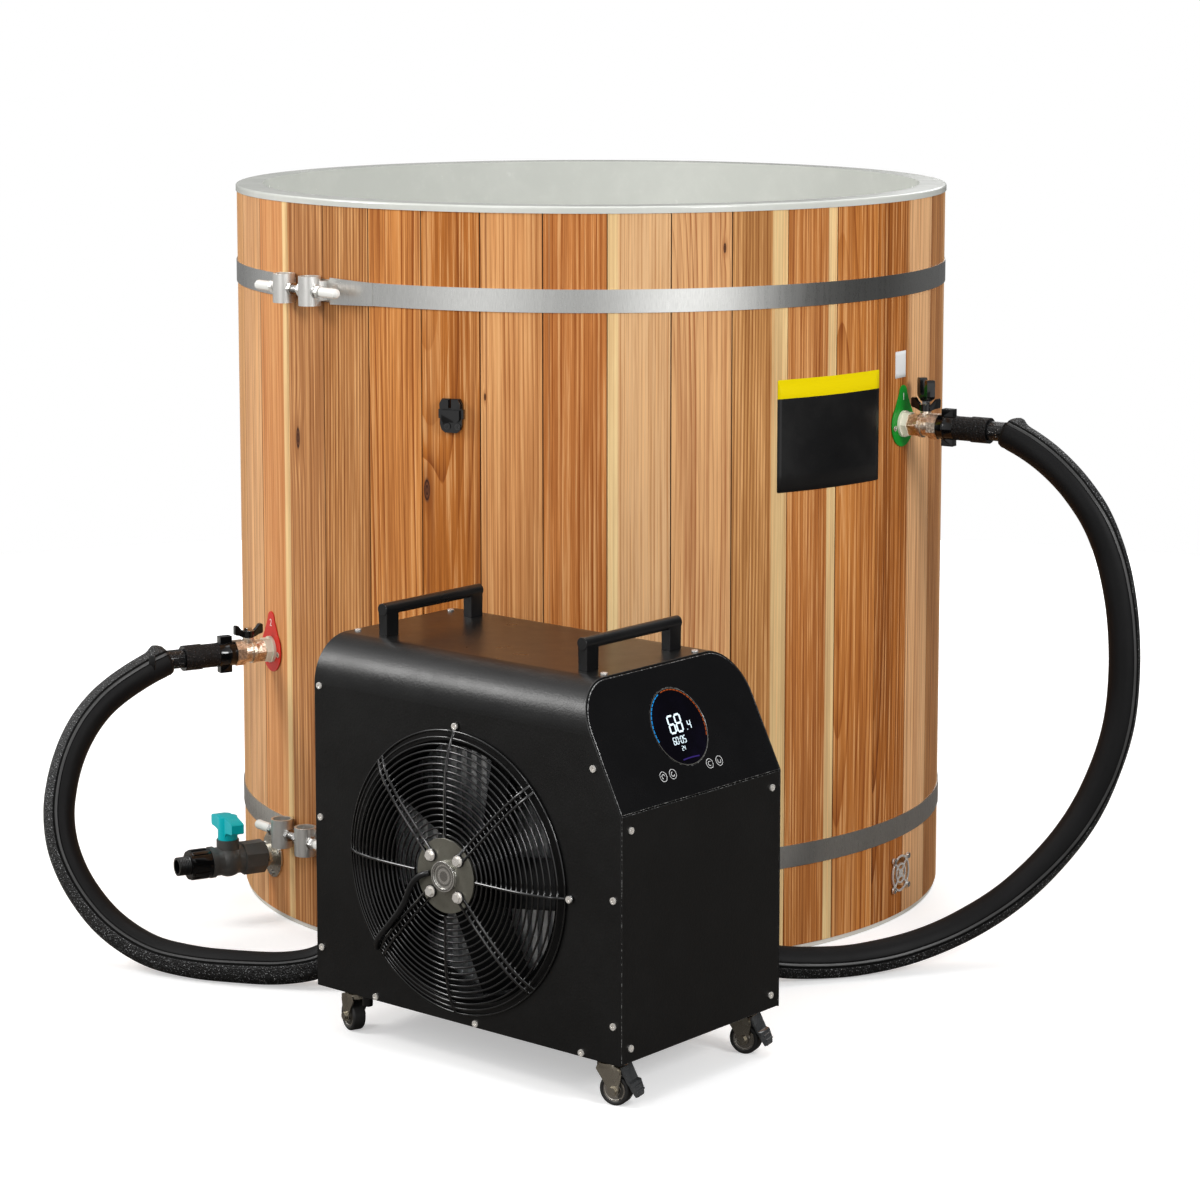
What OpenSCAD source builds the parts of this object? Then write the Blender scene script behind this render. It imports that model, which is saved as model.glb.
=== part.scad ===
/* [Tub] */
// Outside diameter of the staved wall
tub_diameter = 1000; // [860:10:1150]
// Height from the floor to the top of the rim
tub_height = 1000; // [900:10:1100]
// Number of staves round the wall
stave_count = 38; // [30:1:44]
// Thickness of a stave
stave_thickness = 20; // [16:1:24]
// Open line between two staves
stave_joint = 0.4; // [0.2:0.1:1]
// Size of the groove that the rounded stave edges leave at each joint
stave_groove = 2; // [1:0.5:4]
// Thickness of the foam between the liner and the staves
foam_thickness = 10; // [6:1:14]
// Wall thickness of the moulded liner
liner_wall = 6; // [4:0.5:9]
// Height of the rim flange
rim_height = 9; // [6:1:14]
// How far the rim flange stands out past the staves
rim_overhang = 1.5; // [0.5:0.5:6]
// Height of the liner's floor above the ground
liner_floor = 62; // [50:1:66]
// Radius between the liner's wall and floor
liner_corner = 30; // [20:2:40]
// Thickness of the pale base disc that the staves stand on
base_thickness = 7; // [5:1:12]

/* [Hoops] */
// Height of each hoop band
hoop_height = 30; // [22:1:40]
// Thickness of the band
hoop_thickness = 1.5; // [1:0.5:3]
// Height of the upper hoop's middle
upper_hoop_z = 879; // [700:1:900]
// Height of the lower hoop's middle
lower_hoop_z = 131; // [125:1:300]
// Where the upper tensioner sits, in degrees round from the front
upper_lug_angle = -48.8; // [-52:0.1:-44]
// Where the lower tensioner sits
lower_lug_angle = -51.3; // [-52:0.1:-46]
// Outside diameter of a tensioner barrel
lug_diameter = 30; // [24:1:32]
// Height of a tensioner barrel
lug_height = 39; // [34:1:44]
// Distance between the two barrels of a tensioner
lug_spacing = 57; // [50:1:64]
// Diameter of the tension rod
rod_diameter = 10; // [8:0.5:12]

/* [Water fittings] */
// Where the inlet sits, in degrees round from the front
inlet_angle = 57.2; // [50:0.1:62]
// Height of the inlet's axis
inlet_z = 690; // [500:1:760]
// Where the outlet sits
outlet_angle = -61; // [-66:0.1:-58]
// Height of the outlet's axis
outlet_z = 374; // [300:1:480]
// Where the drain sits
drain_angle = -61.5; // [-66:0.1:-60]
// Height of the drain's axis
drain_z = 84; // [80:1:88]
// Bore of the inlet and outlet fittings
water_bore = 18; // [14:0.5:20]
// Outside diameter of the inlet and outlet bulkhead pipes
bulkhead_diameter = 25; // [24:0.5:28]
// Length of a brass valve along its axis
valve_length = 43; // [40:1:50]
// Diameter of a brass valve's barrel
valve_diameter = 33; // [31:1:38]
// Diameter of a valve stem
stem_diameter = 8; // [6:0.5:9]
// Height of a brass valve's neck above its axis
valve_neck = 20; // [19:0.5:24]
// Length of the hose collar
collar_length = 25; // [20:1:32]
// Length of the sleeve behind the collar
sleeve_length = 50; // [40:1:60]
// Length of bare hose between the sleeve and the jacket
tail_length = 23; // [10:1:30]
// Outside diameter of the bare hose
tail_diameter = 26; // [22:1:30]
// Outside diameter of the hose jacket
jacket_diameter = 41; // [36:1:41.5]
// Bore of the drain valve
drain_bore = 20; // [16:0.5:22]

/* [Chiller cabinet] */
// Length of the cabinet, from the rear panel to the front panel
cabinet_length = 486; // [480:1:500]
// Width of the cabinet, from the fan side to the far side
cabinet_width = 300; // [290:1:310]
// Height of the cabinet's underside
cabinet_bottom = 58; // [54:1:64]
// Height of the cabinet's top
cabinet_top = 494; // [480:1:540]
// Radius along the top edges
cabinet_corner = 56; // [40:1:64]
// Thickness of the sheet
sheet = 2; // [1.2:0.2:2.4]
// Height of the seam between the front panel and the sloped control panel
seam_z = 351; // [330:1:362]
// How far back the slope runs from the seam to the top
slope_run = 72; // [50:1:90]
// Diameter of the round display
display_diameter = 95; // [70:1:110]
// Distance of the display's middle up the slope
display_rise = 82; // [78:1:92]
// Length of a handle's bar
handle_length = 176; // [140:1:190]
// Diameter of a handle's bar
handle_bar = 15; // [12:1:20]
// Clear height under a handle's bar
handle_clear = 25; // [20:1:40]
// Distance from the cabinet's middle forward to the front handle
front_handle_x = 133; // [120:1:145]
// Distance from the cabinet's middle back to the rear handle
rear_handle_x = 187; // [150:1:200]

/* [Fan] */
// Distance of the fan's axis behind the cabinet's front
fan_setback = 252; // [245:1:262]
// Height of the fan's axis
fan_z = 242; // [238:1:250]
// Outside diameter of the wire guard
guard_diameter = 344; // [330:2:348]
// Number of rings in the guard
guard_rings = 17; // [10:1:18]
// Wire diameter of the guard
guard_wire = 2.6; // [2:0.1:3]
// How far the guard's middle stands out
guard_rise = 19; // [14:1:26]
// Tip diameter of the rotor
rotor_diameter = 300; // [260:2:304]
// Number of blades
blade_count = 5; // [3:1:7]
// Pitch of the blades in degrees
blade_pitch = 28; // [20:1:32]

/* [Casters] */
// Wheel diameter
wheel_diameter = 38; // [34:1:38]
// Wheel width
wheel_width = 17; // [13:1:18]
// Distance from the swivel axis back to the wheel's axle
caster_trail = 10; // [8:1:12]
// Distance of a swivel axis from the cabinet's ends
caster_end_inset = 40; // [36:1:48]
// Distance of a swivel axis from the cabinet's sides
caster_side_inset = 28; // [24:1:40]

/* [Hidden] */
$fn = 96;

// Where the chiller stands beside the tub, and its turn; the hose routes end at it
chiller_x = -55;
chiller_y = -800;
chiller_turn = 40.3;
tub_radius = tub_diameter / 2;
stave_inner = tub_radius - stave_thickness;
liner_outer = stave_inner - foam_thickness;
liner_inner = liner_outer - liner_wall;
rim_bottom = tub_height - rim_height;
seat_gap = 0.1;
run_gap = 0.05;
turn_gap = 0.3;
nub = 0.01;

// The hose route points, in millimetres, after the straight start at the tub's fitting
inlet_route = [
  [588, -379, 685], [618, -396, 662], [644, -411, 622], [667, -424, 573],
  [686, -437, 515], [697, -446, 450], [699, -452, 385], [692, -457, 315],
  [672, -461, 250], [640, -465, 188], [597, -470, 134], [545, -477, 88],
  [485, -488, 53], [420, -506, 31], [355, -527, 22], [298, -543, 21.5],
  [235, -560, 29], [178, -580, 50], [136, -612, 71]
];
outlet_route = [
  [-609, -338, 370], [-640, -362, 353], [-668, -386, 318], [-689, -407, 275],
  [-701, -424, 232], [-704, -438, 188], [-694, -452, 142], [-669, -468, 96],
  [-628, -490, 55], [-574, -515, 29], [-512, -541, 21.5], [-450, -561, 21.5],
  [-400, -572, 23], [-356, -577, 31], [-322, -577, 49], [-288, -577, 69]
];
hose_sides = 12;
hose_step = 75;
inlet_hose_rings = 28;
outlet_hose_rings = 22;

// Places in the water fittings, measured outward from the staved wall
plate_thickness = 1.6;
nut_start = plate_thickness + 2 * seat_gap;
valve_start = 14;
valve_end = valve_start + valve_length;
valve_middle = valve_start + valve_length / 2;
ball_radius = 12;
collar_end = valve_end + collar_length;
sleeve_end = collar_end + sleeve_length;
tail_end = sleeve_end + tail_length;
drain_valve_start = 17;
drain_valve_middle = 68;
drain_valve_end = 100;
drain_neck = 30;
drain_ball_radius = 14;

// Places in the chiller
slope_rise = cabinet_top - seam_z;
slope_angle = atan(slope_run / slope_rise);
fan_x = cabinet_length / 2 - fan_setback;
front_x = cabinet_length / 2;
side_y = cabinet_width / 2;
panel_gap = 0.5;
guard_radius = guard_diameter / 2;
fan_opening = guard_radius - 14;
hub_plate_radius = 45;
motor_radius = 40;
motor_bolt_radius = 31;
motor_depth = 30;
motor_shaft = 4;
pan_floor = cabinet_bottom + sheet;
compressor_back = 150;
compressor_radius = 56;
compressor_height = 130;
works_side = 70;
evaporator_back = 20;
evaporator_radius = 48;
evaporator_height = 230;
pump_ahead = 130;
pump_radius = 40;
pump_length = 100;
port_z = 78;
feed_port_x = 24;
return_port_y = 65;
port_nipple = 12;
port_collar = 26;
elbow_leg = 25;
elbow_out = 21;
wheel_radius = wheel_diameter / 2;
axle_radius = 3;
kingpin_radius = 4;
swivel_z = cabinet_bottom - 12;

function rotated(p, a) = [p.x * cos(a) - p.y * sin(a), p.x * sin(a) + p.y * cos(a), p.z];
function chiller_point(p) = rotated(p, -chiller_turn) + [chiller_x, chiller_y, 0];
function wall_point(angle, out, z) = [
  (tub_radius + out) * sin(angle), -(tub_radius + out) * cos(angle), z
];
function unit(v) = v / norm(v);
function spline(a, b, c, d, t) = 0.5 * (
  2 * b + (c - a) * t + (2 * a - 5 * b + 4 * c - d) * t * t
  + (3 * b - a - 3 * c + d) * t * t * t
);
function along(points, s) = let (
  last = len(points) - 1,
  i = min(floor(s), last - 1),
  before = i > 0 ? points[i - 1] : 2 * points[0] - points[1],
  after = i + 2 <= last ? points[i + 2] : 2 * points[last] - points[last - 1]
) spline(before, points[i], points[i + 1], after, s - i);

// A pipe outward from the wall, between two distances and of one radius
module out_pipe(from, to, radius, sides = 96) {
  translate([from, 0, 0])
    rotate([0, 90, 0])
      rotate([0, 0, sides == 6 ? 30 : 22.5])
        cylinder(h = to - from, r = radius, $fn = sides);
}

// Places its children at the staved wall, with X outward and Z up
module at_wall(angle, z) {
  rotate([0, 0, angle - 90])
    translate([tub_radius, 0, z])
      children();
}

// Places its children in the chiller's own frame: X to its front, Y to its far side
module at_chiller() {
  translate([chiller_x, chiller_y, 0])
    rotate([0, 0, -chiller_turn])
      children();
}

// Places its children on the sloped control panel: X outward, Z up the slope
module on_slope() {
  translate([front_x, 0, seam_z])
    rotate([0, -slope_angle, 0])
      children();
}

// Places its children at the fan: Z outward along its axis
module at_fan() {
  translate([fan_x, -side_y, fan_z])
    rotate([90, 0, 0])
      children();
}

// A tube of sides and rings swept along smooth route points
module swept_tube(points, rings, radius) {
  last = len(points) - 1;
  centres = [for (i = [0:rings]) along(points, last * i / rings)];
  aims = [
    for (i = [0:rings])
      i == 0 ? unit(points[1] - points[0])
      : i == rings ? unit(points[last] - points[last - 1])
      : unit(centres[i + 1] - centres[i - 1])
  ];
  corners = [
    for (i = [0:rings])
      let (side = unit(cross(aims[i], [0.28, -0.27, 0.92])), up = cross(side, aims[i]))
      for (k = [0:hose_sides - 1])
        centres[i] + radius * (side * cos(360 * k / hose_sides)
        + up * sin(360 * k / hose_sides))
  ];
  walls = [
    for (i = [0:rings - 1])
      for (k = [0:hose_sides - 1])
        let (a = i * hose_sides + k, b = i * hose_sides + (k + 1) % hose_sides)
        each [[a, b, b + hose_sides], [a, b + hose_sides, a + hose_sides]]
  ];
  first_cap = [for (k = [hose_sides - 1:-1:0]) k];
  last_cap = [for (k = [0:hose_sides - 1]) rings * hose_sides + k];
  polyhedron(points = corners, faces = concat(walls, [first_cap, last_cap]), convexity = 8);
}

// The round holes that the water fittings need through the tub's wall
module wall_holes(extra) {
  for (place = [[inlet_angle, inlet_z], [outlet_angle, outlet_z]])
    at_wall(place[0], place[1])
      out_pipe(-80, 20, bulkhead_diameter / 2 + extra);
  at_wall(drain_angle, drain_z)
    out_pipe(-80, 20, drain_bore / 2 + 3 + extra);
  at_wall(vent_angle, vent_z)
    out_pipe(-stave_thickness - foam_thickness / 2, 20, vent_bore / 2);
}
vent_angle = 58.2;
vent_z = 64;
vent_bore = 44;

// Upright cedar staves, each its own board, with eased outer edges
module staves() {
  color("#b8743f")
    difference() {
      translate([0, 0, base_thickness])
        linear_extrude(rim_bottom - base_thickness)
          difference() {
            circle(tub_radius, $fn = 360);
            circle(stave_inner, $fn = 360);
            for (i = [0:stave_count - 1])
              rotate(360 * (i + 0.25) / stave_count - 90)
                stave_line();
          }
      wall_holes(0.5);
    }
}

module stave_line() {
  translate([stave_inner - 2, -stave_joint / 2])
    square([stave_thickness + 4, stave_joint]);
  translate([tub_radius, 0])
    rotate(45)
      square(stave_groove * 0.7, center = true);
}

// A round vessel's half section, with a rounded lower corner
module vessel_section(radius, low, high, corner) {
  translate([0, low])
    square([radius - corner, high - low]);
  translate([0, low + corner])
    square([radius, high - low - corner]);
  translate([radius - corner, low + corner])
    circle(corner);
}

// Moulded inner tub with its rim flange over the staves
module liner() {
  edge = rim_height / 3;
  color("#c3cac5")
    difference() {
      rotate_extrude($fn = 240)
        difference() {
          union() {
            vessel_section(liner_outer, liner_floor - liner_wall, tub_height - edge,
              liner_corner + liner_wall);
            translate([liner_inner, rim_bottom])
              square([tub_radius + rim_overhang - edge - liner_inner, rim_height]);
            translate([liner_inner, rim_bottom])
              square([tub_radius + rim_overhang - liner_inner, rim_height - edge]);
            translate([tub_radius + rim_overhang - edge, tub_height - edge])
              circle(edge);
            translate([liner_inner, rim_bottom])
              square([edge, rim_height]);
          }
          vessel_section(liner_inner, liner_floor, tub_height + 10, liner_corner);
        }
      wall_holes(0.5);
    }
}

// Foam that fills the space between the liner and the staves, and under the liner
module foam_jacket() {
  reach = stave_inner - turn_gap;
  color("#e6ddb8")
    difference() {
      translate([0, 0, base_thickness])
        cylinder(h = rim_bottom - base_thickness, r = reach, $fn = 360);
      rotate_extrude($fn = 240)
        vessel_section(liner_outer + turn_gap, liner_floor - liner_wall - turn_gap,
          tub_height, liner_corner + liner_wall);
      wall_holes(0.5);
    }
}

// Pale disc under the staves and the foam
module base_disc() {
  color("#d3d2c6")
    cylinder(h = base_thickness - seat_gap, r = tub_radius - 2, $fn = 360);
}

// Both stainless hoop bands, each open between its tensioner barrels, with the doubled ends
module hoops() {
  color("#a9a9a4") {
    hoop(upper_hoop_z, upper_lug_angle);
    hoop(lower_hoop_z, lower_lug_angle);
  }
}

lug_turn = asin(lug_spacing / 2 / tub_radius);
strap_turn = 14.3;
strap_flare = 4.5;

module hoop(z, lug_angle) {
  band_inner = tub_radius + run_gap;
  band_outer = band_inner + hoop_thickness;
  translate([0, 0, z - hoop_height / 2]) {
    rotate([0, 0, lug_angle - 90 + lug_turn])
      rotate_extrude(angle = 360 - 2 * lug_turn, $fn = 360)
        translate([band_inner, 0])
          square([hoop_thickness, hoop_height]);
    rotate([0, 0, lug_angle - 90])
      intersection() {
        rotate([0, 0, lug_turn + 2.4])
          rotate_extrude(angle = strap_turn - lug_turn - 2.4, $fn = 360)
            translate([band_outer - nub, -hoop_height])
              square([hoop_thickness * 0.8, hoop_height * 3]);
        rotate([90, 0, 90])
          translate([0, 0, tub_radius - 60])
            linear_extrude(120)
              polygon([
                [0, -strap_flare], [tub_radius * sin(strap_turn) + 2, 0],
                [tub_radius * sin(strap_turn) + 2, hoop_height],
                [0, hoop_height + strap_flare]
              ]);
      }
  }
}

lug_radius = lug_diameter / 2;
lug_out = hoop_thickness + lug_radius + 1;

// Places its children at both tensioners, with Y along the rod
module at_tensioners() {
  at_wall(upper_lug_angle, upper_hoop_z)
    children();
  at_wall(lower_lug_angle, lower_hoop_z)
    children();
}

// Upright barrels welded to the band ends, crossed by the tension rod
module hoop_lugs() {
  color("#b9b8b3")
    at_tensioners()
      for (side = [-1, 1])
        difference() {
          union() {
            translate([lug_out, side * lug_spacing / 2, -lug_height / 2])
              cylinder(h = lug_height, r = lug_radius);
            translate([-6, side * lug_spacing / 2 + side * 5 - 9, -hoop_height / 2 + 2])
              cube([lug_out, 18, hoop_height - 4]);
          }
          translate([lug_out, side * lug_spacing / 2, -lug_height])
            cylinder(h = lug_height * 2, r = lug_radius - 3);
          translate([-tub_radius, 0, -lug_height])
            cylinder(h = lug_height * 2, r = tub_radius + hoop_thickness + 2 * run_gap,
              $fn = 360);
          translate([lug_out, side * lug_spacing / 2, 0])
            rotate([90, 0, 0])
              cylinder(h = lug_diameter * 2, r = rod_diameter / 2 + 0.5,
                center = true);
        }
}

rod_reach = lug_spacing / 2 + lug_radius;

// Rods that pull each pair of barrels together
module tension_rods() {
  color("#b4b3ae")
    at_tensioners()
      translate([lug_out, 0, 0])
        rotate([90, 0, 0])
          cylinder(h = 2 * (rod_reach + 36), r = rod_diameter / 2, center = true);
}

// Washers and hexagon nuts on the rods, on both sides of each barrel
module tension_nuts() {
  color("#c2c1bc")
    at_tensioners()
      for (side = [-1, 1])
        translate([lug_out, 0, 0])
          rotate([-90 * side, 0, 0])
            difference() {
              union() {
                translate([0, 0, lug_spacing / 2 - lug_radius - 6])
                  cylinder(h = 6, r = rod_diameter / 2 + 4, $fn = 6);
                translate([0, 0, rod_reach])
                  cylinder(h = 2.4, r = rod_diameter / 2 + 4.5);
                translate([0, 0, rod_reach + 2.4])
                  cylinder(h = 8, r = rod_diameter / 2 + 4, $fn = 6);
              }
              cylinder(h = rod_reach + 20, r = rod_diameter / 2 + run_gap);
            }
}

// Soft white caps over the rod ends
module rod_caps() {
  cap_radius = rod_diameter / 2 + 1.6;
  color("#e4e4df")
    at_tensioners()
      for (side = [-1, 1])
        translate([lug_out, side * (rod_reach + 10.8), 0])
          rotate([-90 * side, 0, 0])
            difference() {
              union() {
                cylinder(h = 30, r = cap_radius);
                translate([0, 0, 30])
                  sphere(cap_radius);
              }
              translate([0, 0, -1])
                cylinder(h = 27, r = rod_diameter / 2 + run_gap);
            }
}

// Teardrop plate behind a bulkhead nut
module port_plate() {
  rotate([90, 0, 90])
    translate([0, 0, seat_gap])
      linear_extrude(plate_thickness)
        difference() {
          union() {
            circle(31);
            translate([0, 42])
              circle(10.5);
            polygon([[-27.5, 12], [27.5, 12], [9, 45], [-9, 45]]);
          }
          circle(bulkhead_diameter / 2 + 0.5);
          for (side = [-1, 1])
            translate([side * 25, -4])
              circle(1.9);
        }
}

// Green plate at the inlet
module inlet_plate() {
  color("#0f8f1e")
    at_wall(inlet_angle, inlet_z)
      port_plate();
}

// Red plate at the outlet
module outlet_plate() {
  color("#d02a1c")
    at_wall(outlet_angle, outlet_z)
      port_plate();
}

// A pan-head screw that points into the wall
module wall_screw(y, z, out) {
  translate([out, y, z])
    rotate([0, 90, 0])
      difference() {
        union() {
          cylinder(h = 1.8, r = 4);
          translate([0, 0, -14])
            cylinder(h = 14.5, r = 1.6);
        }
        translate([0, 0, 1.2])
          cube([4.4, 0.9, 1.6], center = true);
        translate([0, 0, 1.2])
          cube([0.9, 4.4, 1.6], center = true);
      }
}

// Small screws that hold the plates, the drain flange, the clip and the vent guard
module wall_screws() {
  color("#c9c8c3") {
    for (place = [[inlet_angle, inlet_z], [outlet_angle, outlet_z]])
      at_wall(place[0], place[1])
        for (side = [-1, 1])
          wall_screw(side * 25, -4, plate_thickness + 2 * seat_gap);
    at_wall(drain_angle, drain_z)
      for (turn = drain_screw_turns)
        wall_screw(26 * cos(turn), 26 * sin(turn), drain_flange_thickness + 2 * seat_gap);
    at_wall(clip_angle, clip_z)
      for (place = clip_screws)
        wall_screw(place.x, place.y, clip_base + 2 * seat_gap);
    at_wall(vent_angle, vent_z)
      for (turn = [45:90:315])
        wall_screw(guard_ring * cos(turn), guard_ring * sin(turn), 2.8 + 2 * seat_gap);
  }
}
clip_angle = -21;
clip_z = 728;
clip_base = 5;
clip_block = 4;
clip_screws = [[-4.5, -14.4], [9.8, -14.4]];
drain_flange_thickness = 2.5;
drain_screw_turns = [20, 160, 270];
guard_ring = 29;

// White plastic bulkheads through the wall: inner flange, threaded pipe and outer nut
module bulkhead_fittings() {
  flange = 22;
  inner_face = sqrt(liner_inner * liner_inner - flange * flange) - tub_radius - seat_gap;
  color("#dad8c4")
    for (place = [[inlet_angle, inlet_z], [outlet_angle, outlet_z]])
      at_wall(place[0], place[1]) {
        difference() {
          union() {
            out_pipe(inner_face - 5, inner_face, flange);
            out_pipe(inner_face - 1, valve_start + 6, bulkhead_diameter / 2 - 1.5);
          }
          out_pipe(inner_face - 10, valve_end, water_bore / 2);
        }
        difference() {
          union() {
            out_pipe(nut_start, nut_start + 4, 18);
            out_pipe(nut_start + 4 - nub, valve_start - seat_gap, 17.5, 6);
          }
          out_pipe(0, valve_end, bulkhead_diameter / 2 - 1.5 + run_gap);
        }
      }
}

// Brass ball valve with a hexagon at each end and a neck for its stem
module brass_valve() {
  barrel = valve_diameter / 2;
  difference() {
    union() {
      out_pipe(valve_start, valve_start + 13, barrel - 0.5, 6);
      out_pipe(valve_start + 12, valve_end - 10, barrel - 2);
      out_pipe(valve_start + 15, valve_start + 19, barrel);
      out_pipe(valve_end - 13, valve_end, barrel + 1.5, 8);
      translate([valve_middle, 0, 0])
        cylinder(h = valve_neck - turn_gap, r = stem_diameter / 2 + 3);
      translate([valve_middle, 0, 0])
        cylinder(h = valve_neck - 2.5, r = stem_diameter / 2 + 5, $fn = 6);
    }
    out_pipe(valve_start - 1, valve_end + 1, water_bore / 2);
    out_pipe(valve_start - 1, valve_start + 6.2, bulkhead_diameter / 2 - 1.5 + run_gap);
    translate([valve_middle, 0, 0])
      sphere(ball_radius + turn_gap);
    translate([valve_middle, 0, 0])
      cylinder(h = valve_neck + 1, r = stem_diameter / 2 + run_gap);
  }
}

// Inlet valve's brass body
module inlet_valve_body() {
  color("#b89268")
    at_wall(inlet_angle, inlet_z)
      brass_valve();
}

// Outlet valve's brass body
module outlet_valve_body() {
  color("#b89268")
    at_wall(outlet_angle, outlet_z)
      brass_valve();
}

// Bored ball on its stem, with the nut that holds the handle
module valve_ball() {
  translate([valve_middle, 0, 0]) {
    difference() {
      union() {
        sphere(ball_radius);
        cylinder(h = valve_neck + 9, r = stem_diameter / 2);
      }
      rotate([0, 90, 0])
        cylinder(h = 60, r = water_bore / 2 - 1, center = true);
    }
    translate([0, 0, valve_neck + 9.1])
      cylinder(h = 4, r = 6, $fn = 6);
  }
}

// Inlet valve's ball and stem
module inlet_ball() {
  color("#c4c4bf")
    at_wall(inlet_angle, inlet_z)
      valve_ball();
}

// Outlet valve's ball and stem
module outlet_ball() {
  color("#c4c4bf")
    at_wall(outlet_angle, outlet_z)
      valve_ball();
}

// Butterfly handle: a hub and two raised wings
module butterfly_handle() {
  hub = stem_diameter / 2 + 4.5;
  translate([valve_middle, 0, valve_neck])
    difference() {
      union() {
        cylinder(h = 9, r = hub);
        for (side = [-1, 1])
          rotate([90, 0, 0])
            translate([0, 0, -3.5])
              linear_extrude(7)
                polygon([
                  [0, 0.5], [side * 9, 0.5], [side * 15, 3.5], [side * 19.5, 4.5],
                  [side * 20.5, 6], [side * 20.5, 16], [side * 19, 17.5],
                  [side * 15.5, 17], [side * 12, 12.5], [side * hub, 9], [0, 8.5]
                ]);
      }
      translate([0, 0, -1])
        cylinder(h = 20, r = stem_diameter / 2 + run_gap);
    }
}

// Inlet's black butterfly handle with its upright thumb grip
module inlet_handle() {
  color("#1b1b1c")
    at_wall(inlet_angle, inlet_z) {
      butterfly_handle();
      translate([valve_middle, 0, valve_neck + 13.2])
        rotate([0, 0, -45]) {
          translate([0, 0, 3])
            cube([16, 11, 6], center = true);
          for (side = [-1, 1])
            rotate([90, 0, 0])
              translate([0, 0, -5.5])
                linear_extrude(11)
                  polygon([
                    [0, 1], [side * 8, 1], [side * 20, 5], [side * 22, 8],
                    [side * 22, 27], [side * 20, 30], [side * 13, 30], [side * 10, 27],
                    [side * 9, 10], [0, 8]
                  ]);
        }
    }
}

// Outlet's black butterfly handle
module outlet_handle() {
  color("#1b1b1c")
    at_wall(outlet_angle, outlet_z)
      butterfly_handle();
}

// Stainless drain flange with its pipe through the wall and the strainer inside
module drain_flange() {
  pipe = drain_bore / 2 + 3;
  color("#b9b5a9")
    at_wall(drain_angle, drain_z)
      difference() {
        union() {
          out_pipe(seat_gap, seat_gap + drain_flange_thickness, 31.8);
          out_pipe(seat_gap, drain_valve_start + 12, pipe);
          out_pipe(seat_gap, drain_valve_start - 4, pipe + 2.5);
          out_pipe(liner_inner - tub_radius - 8, 1, pipe - 0.5);
        }
        out_pipe(-140, 60, drain_bore / 2 - 1);
        for (turn = drain_screw_turns)
          translate([0, 26 * cos(turn), 26 * sin(turn)])
            out_pipe(-5, 5, 1.9);
      }
}

// Grey plastic drain valve body
module drain_valve_body() {
  pipe = drain_bore / 2 + 3;
  color("#4a4645")
    at_wall(drain_angle, drain_z)
      difference() {
        union() {
          out_pipe(drain_valve_start, drain_valve_start + 31, 23.2, 8);
          out_pipe(drain_valve_start + 30, drain_valve_end, 19.5);
          translate([drain_valve_middle, 0, 0])
            sphere(22.5);
          out_pipe(drain_valve_end - 10, drain_valve_end - 4, 21.5);
          translate([drain_valve_middle, 0, 0])
            cylinder(h = drain_neck - turn_gap, r = 15.5);
        }
        out_pipe(drain_valve_start - 1, drain_valve_end + 1, drain_bore / 2);
        out_pipe(drain_valve_start - 1, drain_valve_start + 12.2, pipe + run_gap);
        translate([drain_valve_middle, 0, 0])
          sphere(drain_ball_radius + turn_gap);
        translate([drain_valve_middle, 0, 0])
          cylinder(h = drain_neck + 1, r = stem_diameter / 2 + run_gap);
      }
}

// Drain valve's ball and stem, turned to the closed place
module drain_ball() {
  color("#d8d8d6")
    at_wall(drain_angle, drain_z)
      translate([drain_valve_middle, 0, 0])
        difference() {
          union() {
            sphere(drain_ball_radius);
            cylinder(h = drain_neck + 16, r = stem_diameter / 2);
          }
          rotate([90, 0, 0])
            cylinder(h = 60, r = drain_bore / 2 - 1, center = true);
        }
}

// Teal handle of the drain valve, crosswise where it is closed
module drain_handle() {
  color("#00a5a3")
    at_wall(drain_angle, drain_z)
      translate([drain_valve_middle, 0, drain_neck])
        difference() {
          union() {
            cylinder(h = 32, r = 13.5);
            rotate([90, 0, 90])
              translate([0, 0, -9])
                linear_extrude(18)
                  polygon([
                    [-9, 2], [9, 2], [14, 11], [24, 13], [34, 13.5], [36.5, 15.5],
                    [36.5, 26.5], [34, 28.5], [14, 32.6], [-14, 32.6], [-34, 28.5],
                    [-36.5, 26.5], [-36.5, 15.5], [-34, 13.5], [-24, 13], [-14, 11]
                  ]);
          }
          translate([0, 0, -1])
            cylinder(h = 17.2, r = stem_diameter / 2 + run_gap);
        }
}

// Black union nut and threaded spout on the drain valve
module drain_union_nut() {
  color("#161616")
    at_wall(drain_angle, drain_z) {
      difference() {
        union() {
          out_pipe(drain_valve_end - 4 + seat_gap, drain_valve_end + 26.5, 19.6);
          for (turn = [0:30:330])
            rotate([turn, 0, 0])
              translate([drain_valve_end + 1, -2.5, 18])
                cube([22, 5, 3]);
        }
        out_pipe(drain_valve_end - 6, drain_valve_end + seat_gap, 19.5 + run_gap);
        out_pipe(drain_valve_end - 6, drain_valve_end + 24, 15);
        out_pipe(drain_valve_end - 6, drain_valve_end + 29, 13.2 + run_gap);
      }
      difference() {
        union() {
          out_pipe(drain_valve_end + seat_gap, drain_valve_end + 43, 12.7);
          out_pipe(drain_valve_end + seat_gap, drain_valve_end + 26.5, 13.2);
          spout_shoulder();
          out_pipe(drain_valve_end + seat_gap, drain_valve_end + 23, 14.8);
        }
        out_pipe(drain_valve_end - 1, drain_valve_end + 44, 9.5);
      }
    }
}

// Cone from the spout's neck in the nut down to its free end
module spout_shoulder() {
  translate([drain_valve_end + 26.4, 0, 0])
    rotate([0, 90, 0])
      cylinder(h = 0.6, r1 = 13.2, r2 = 12.7);
}

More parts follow.
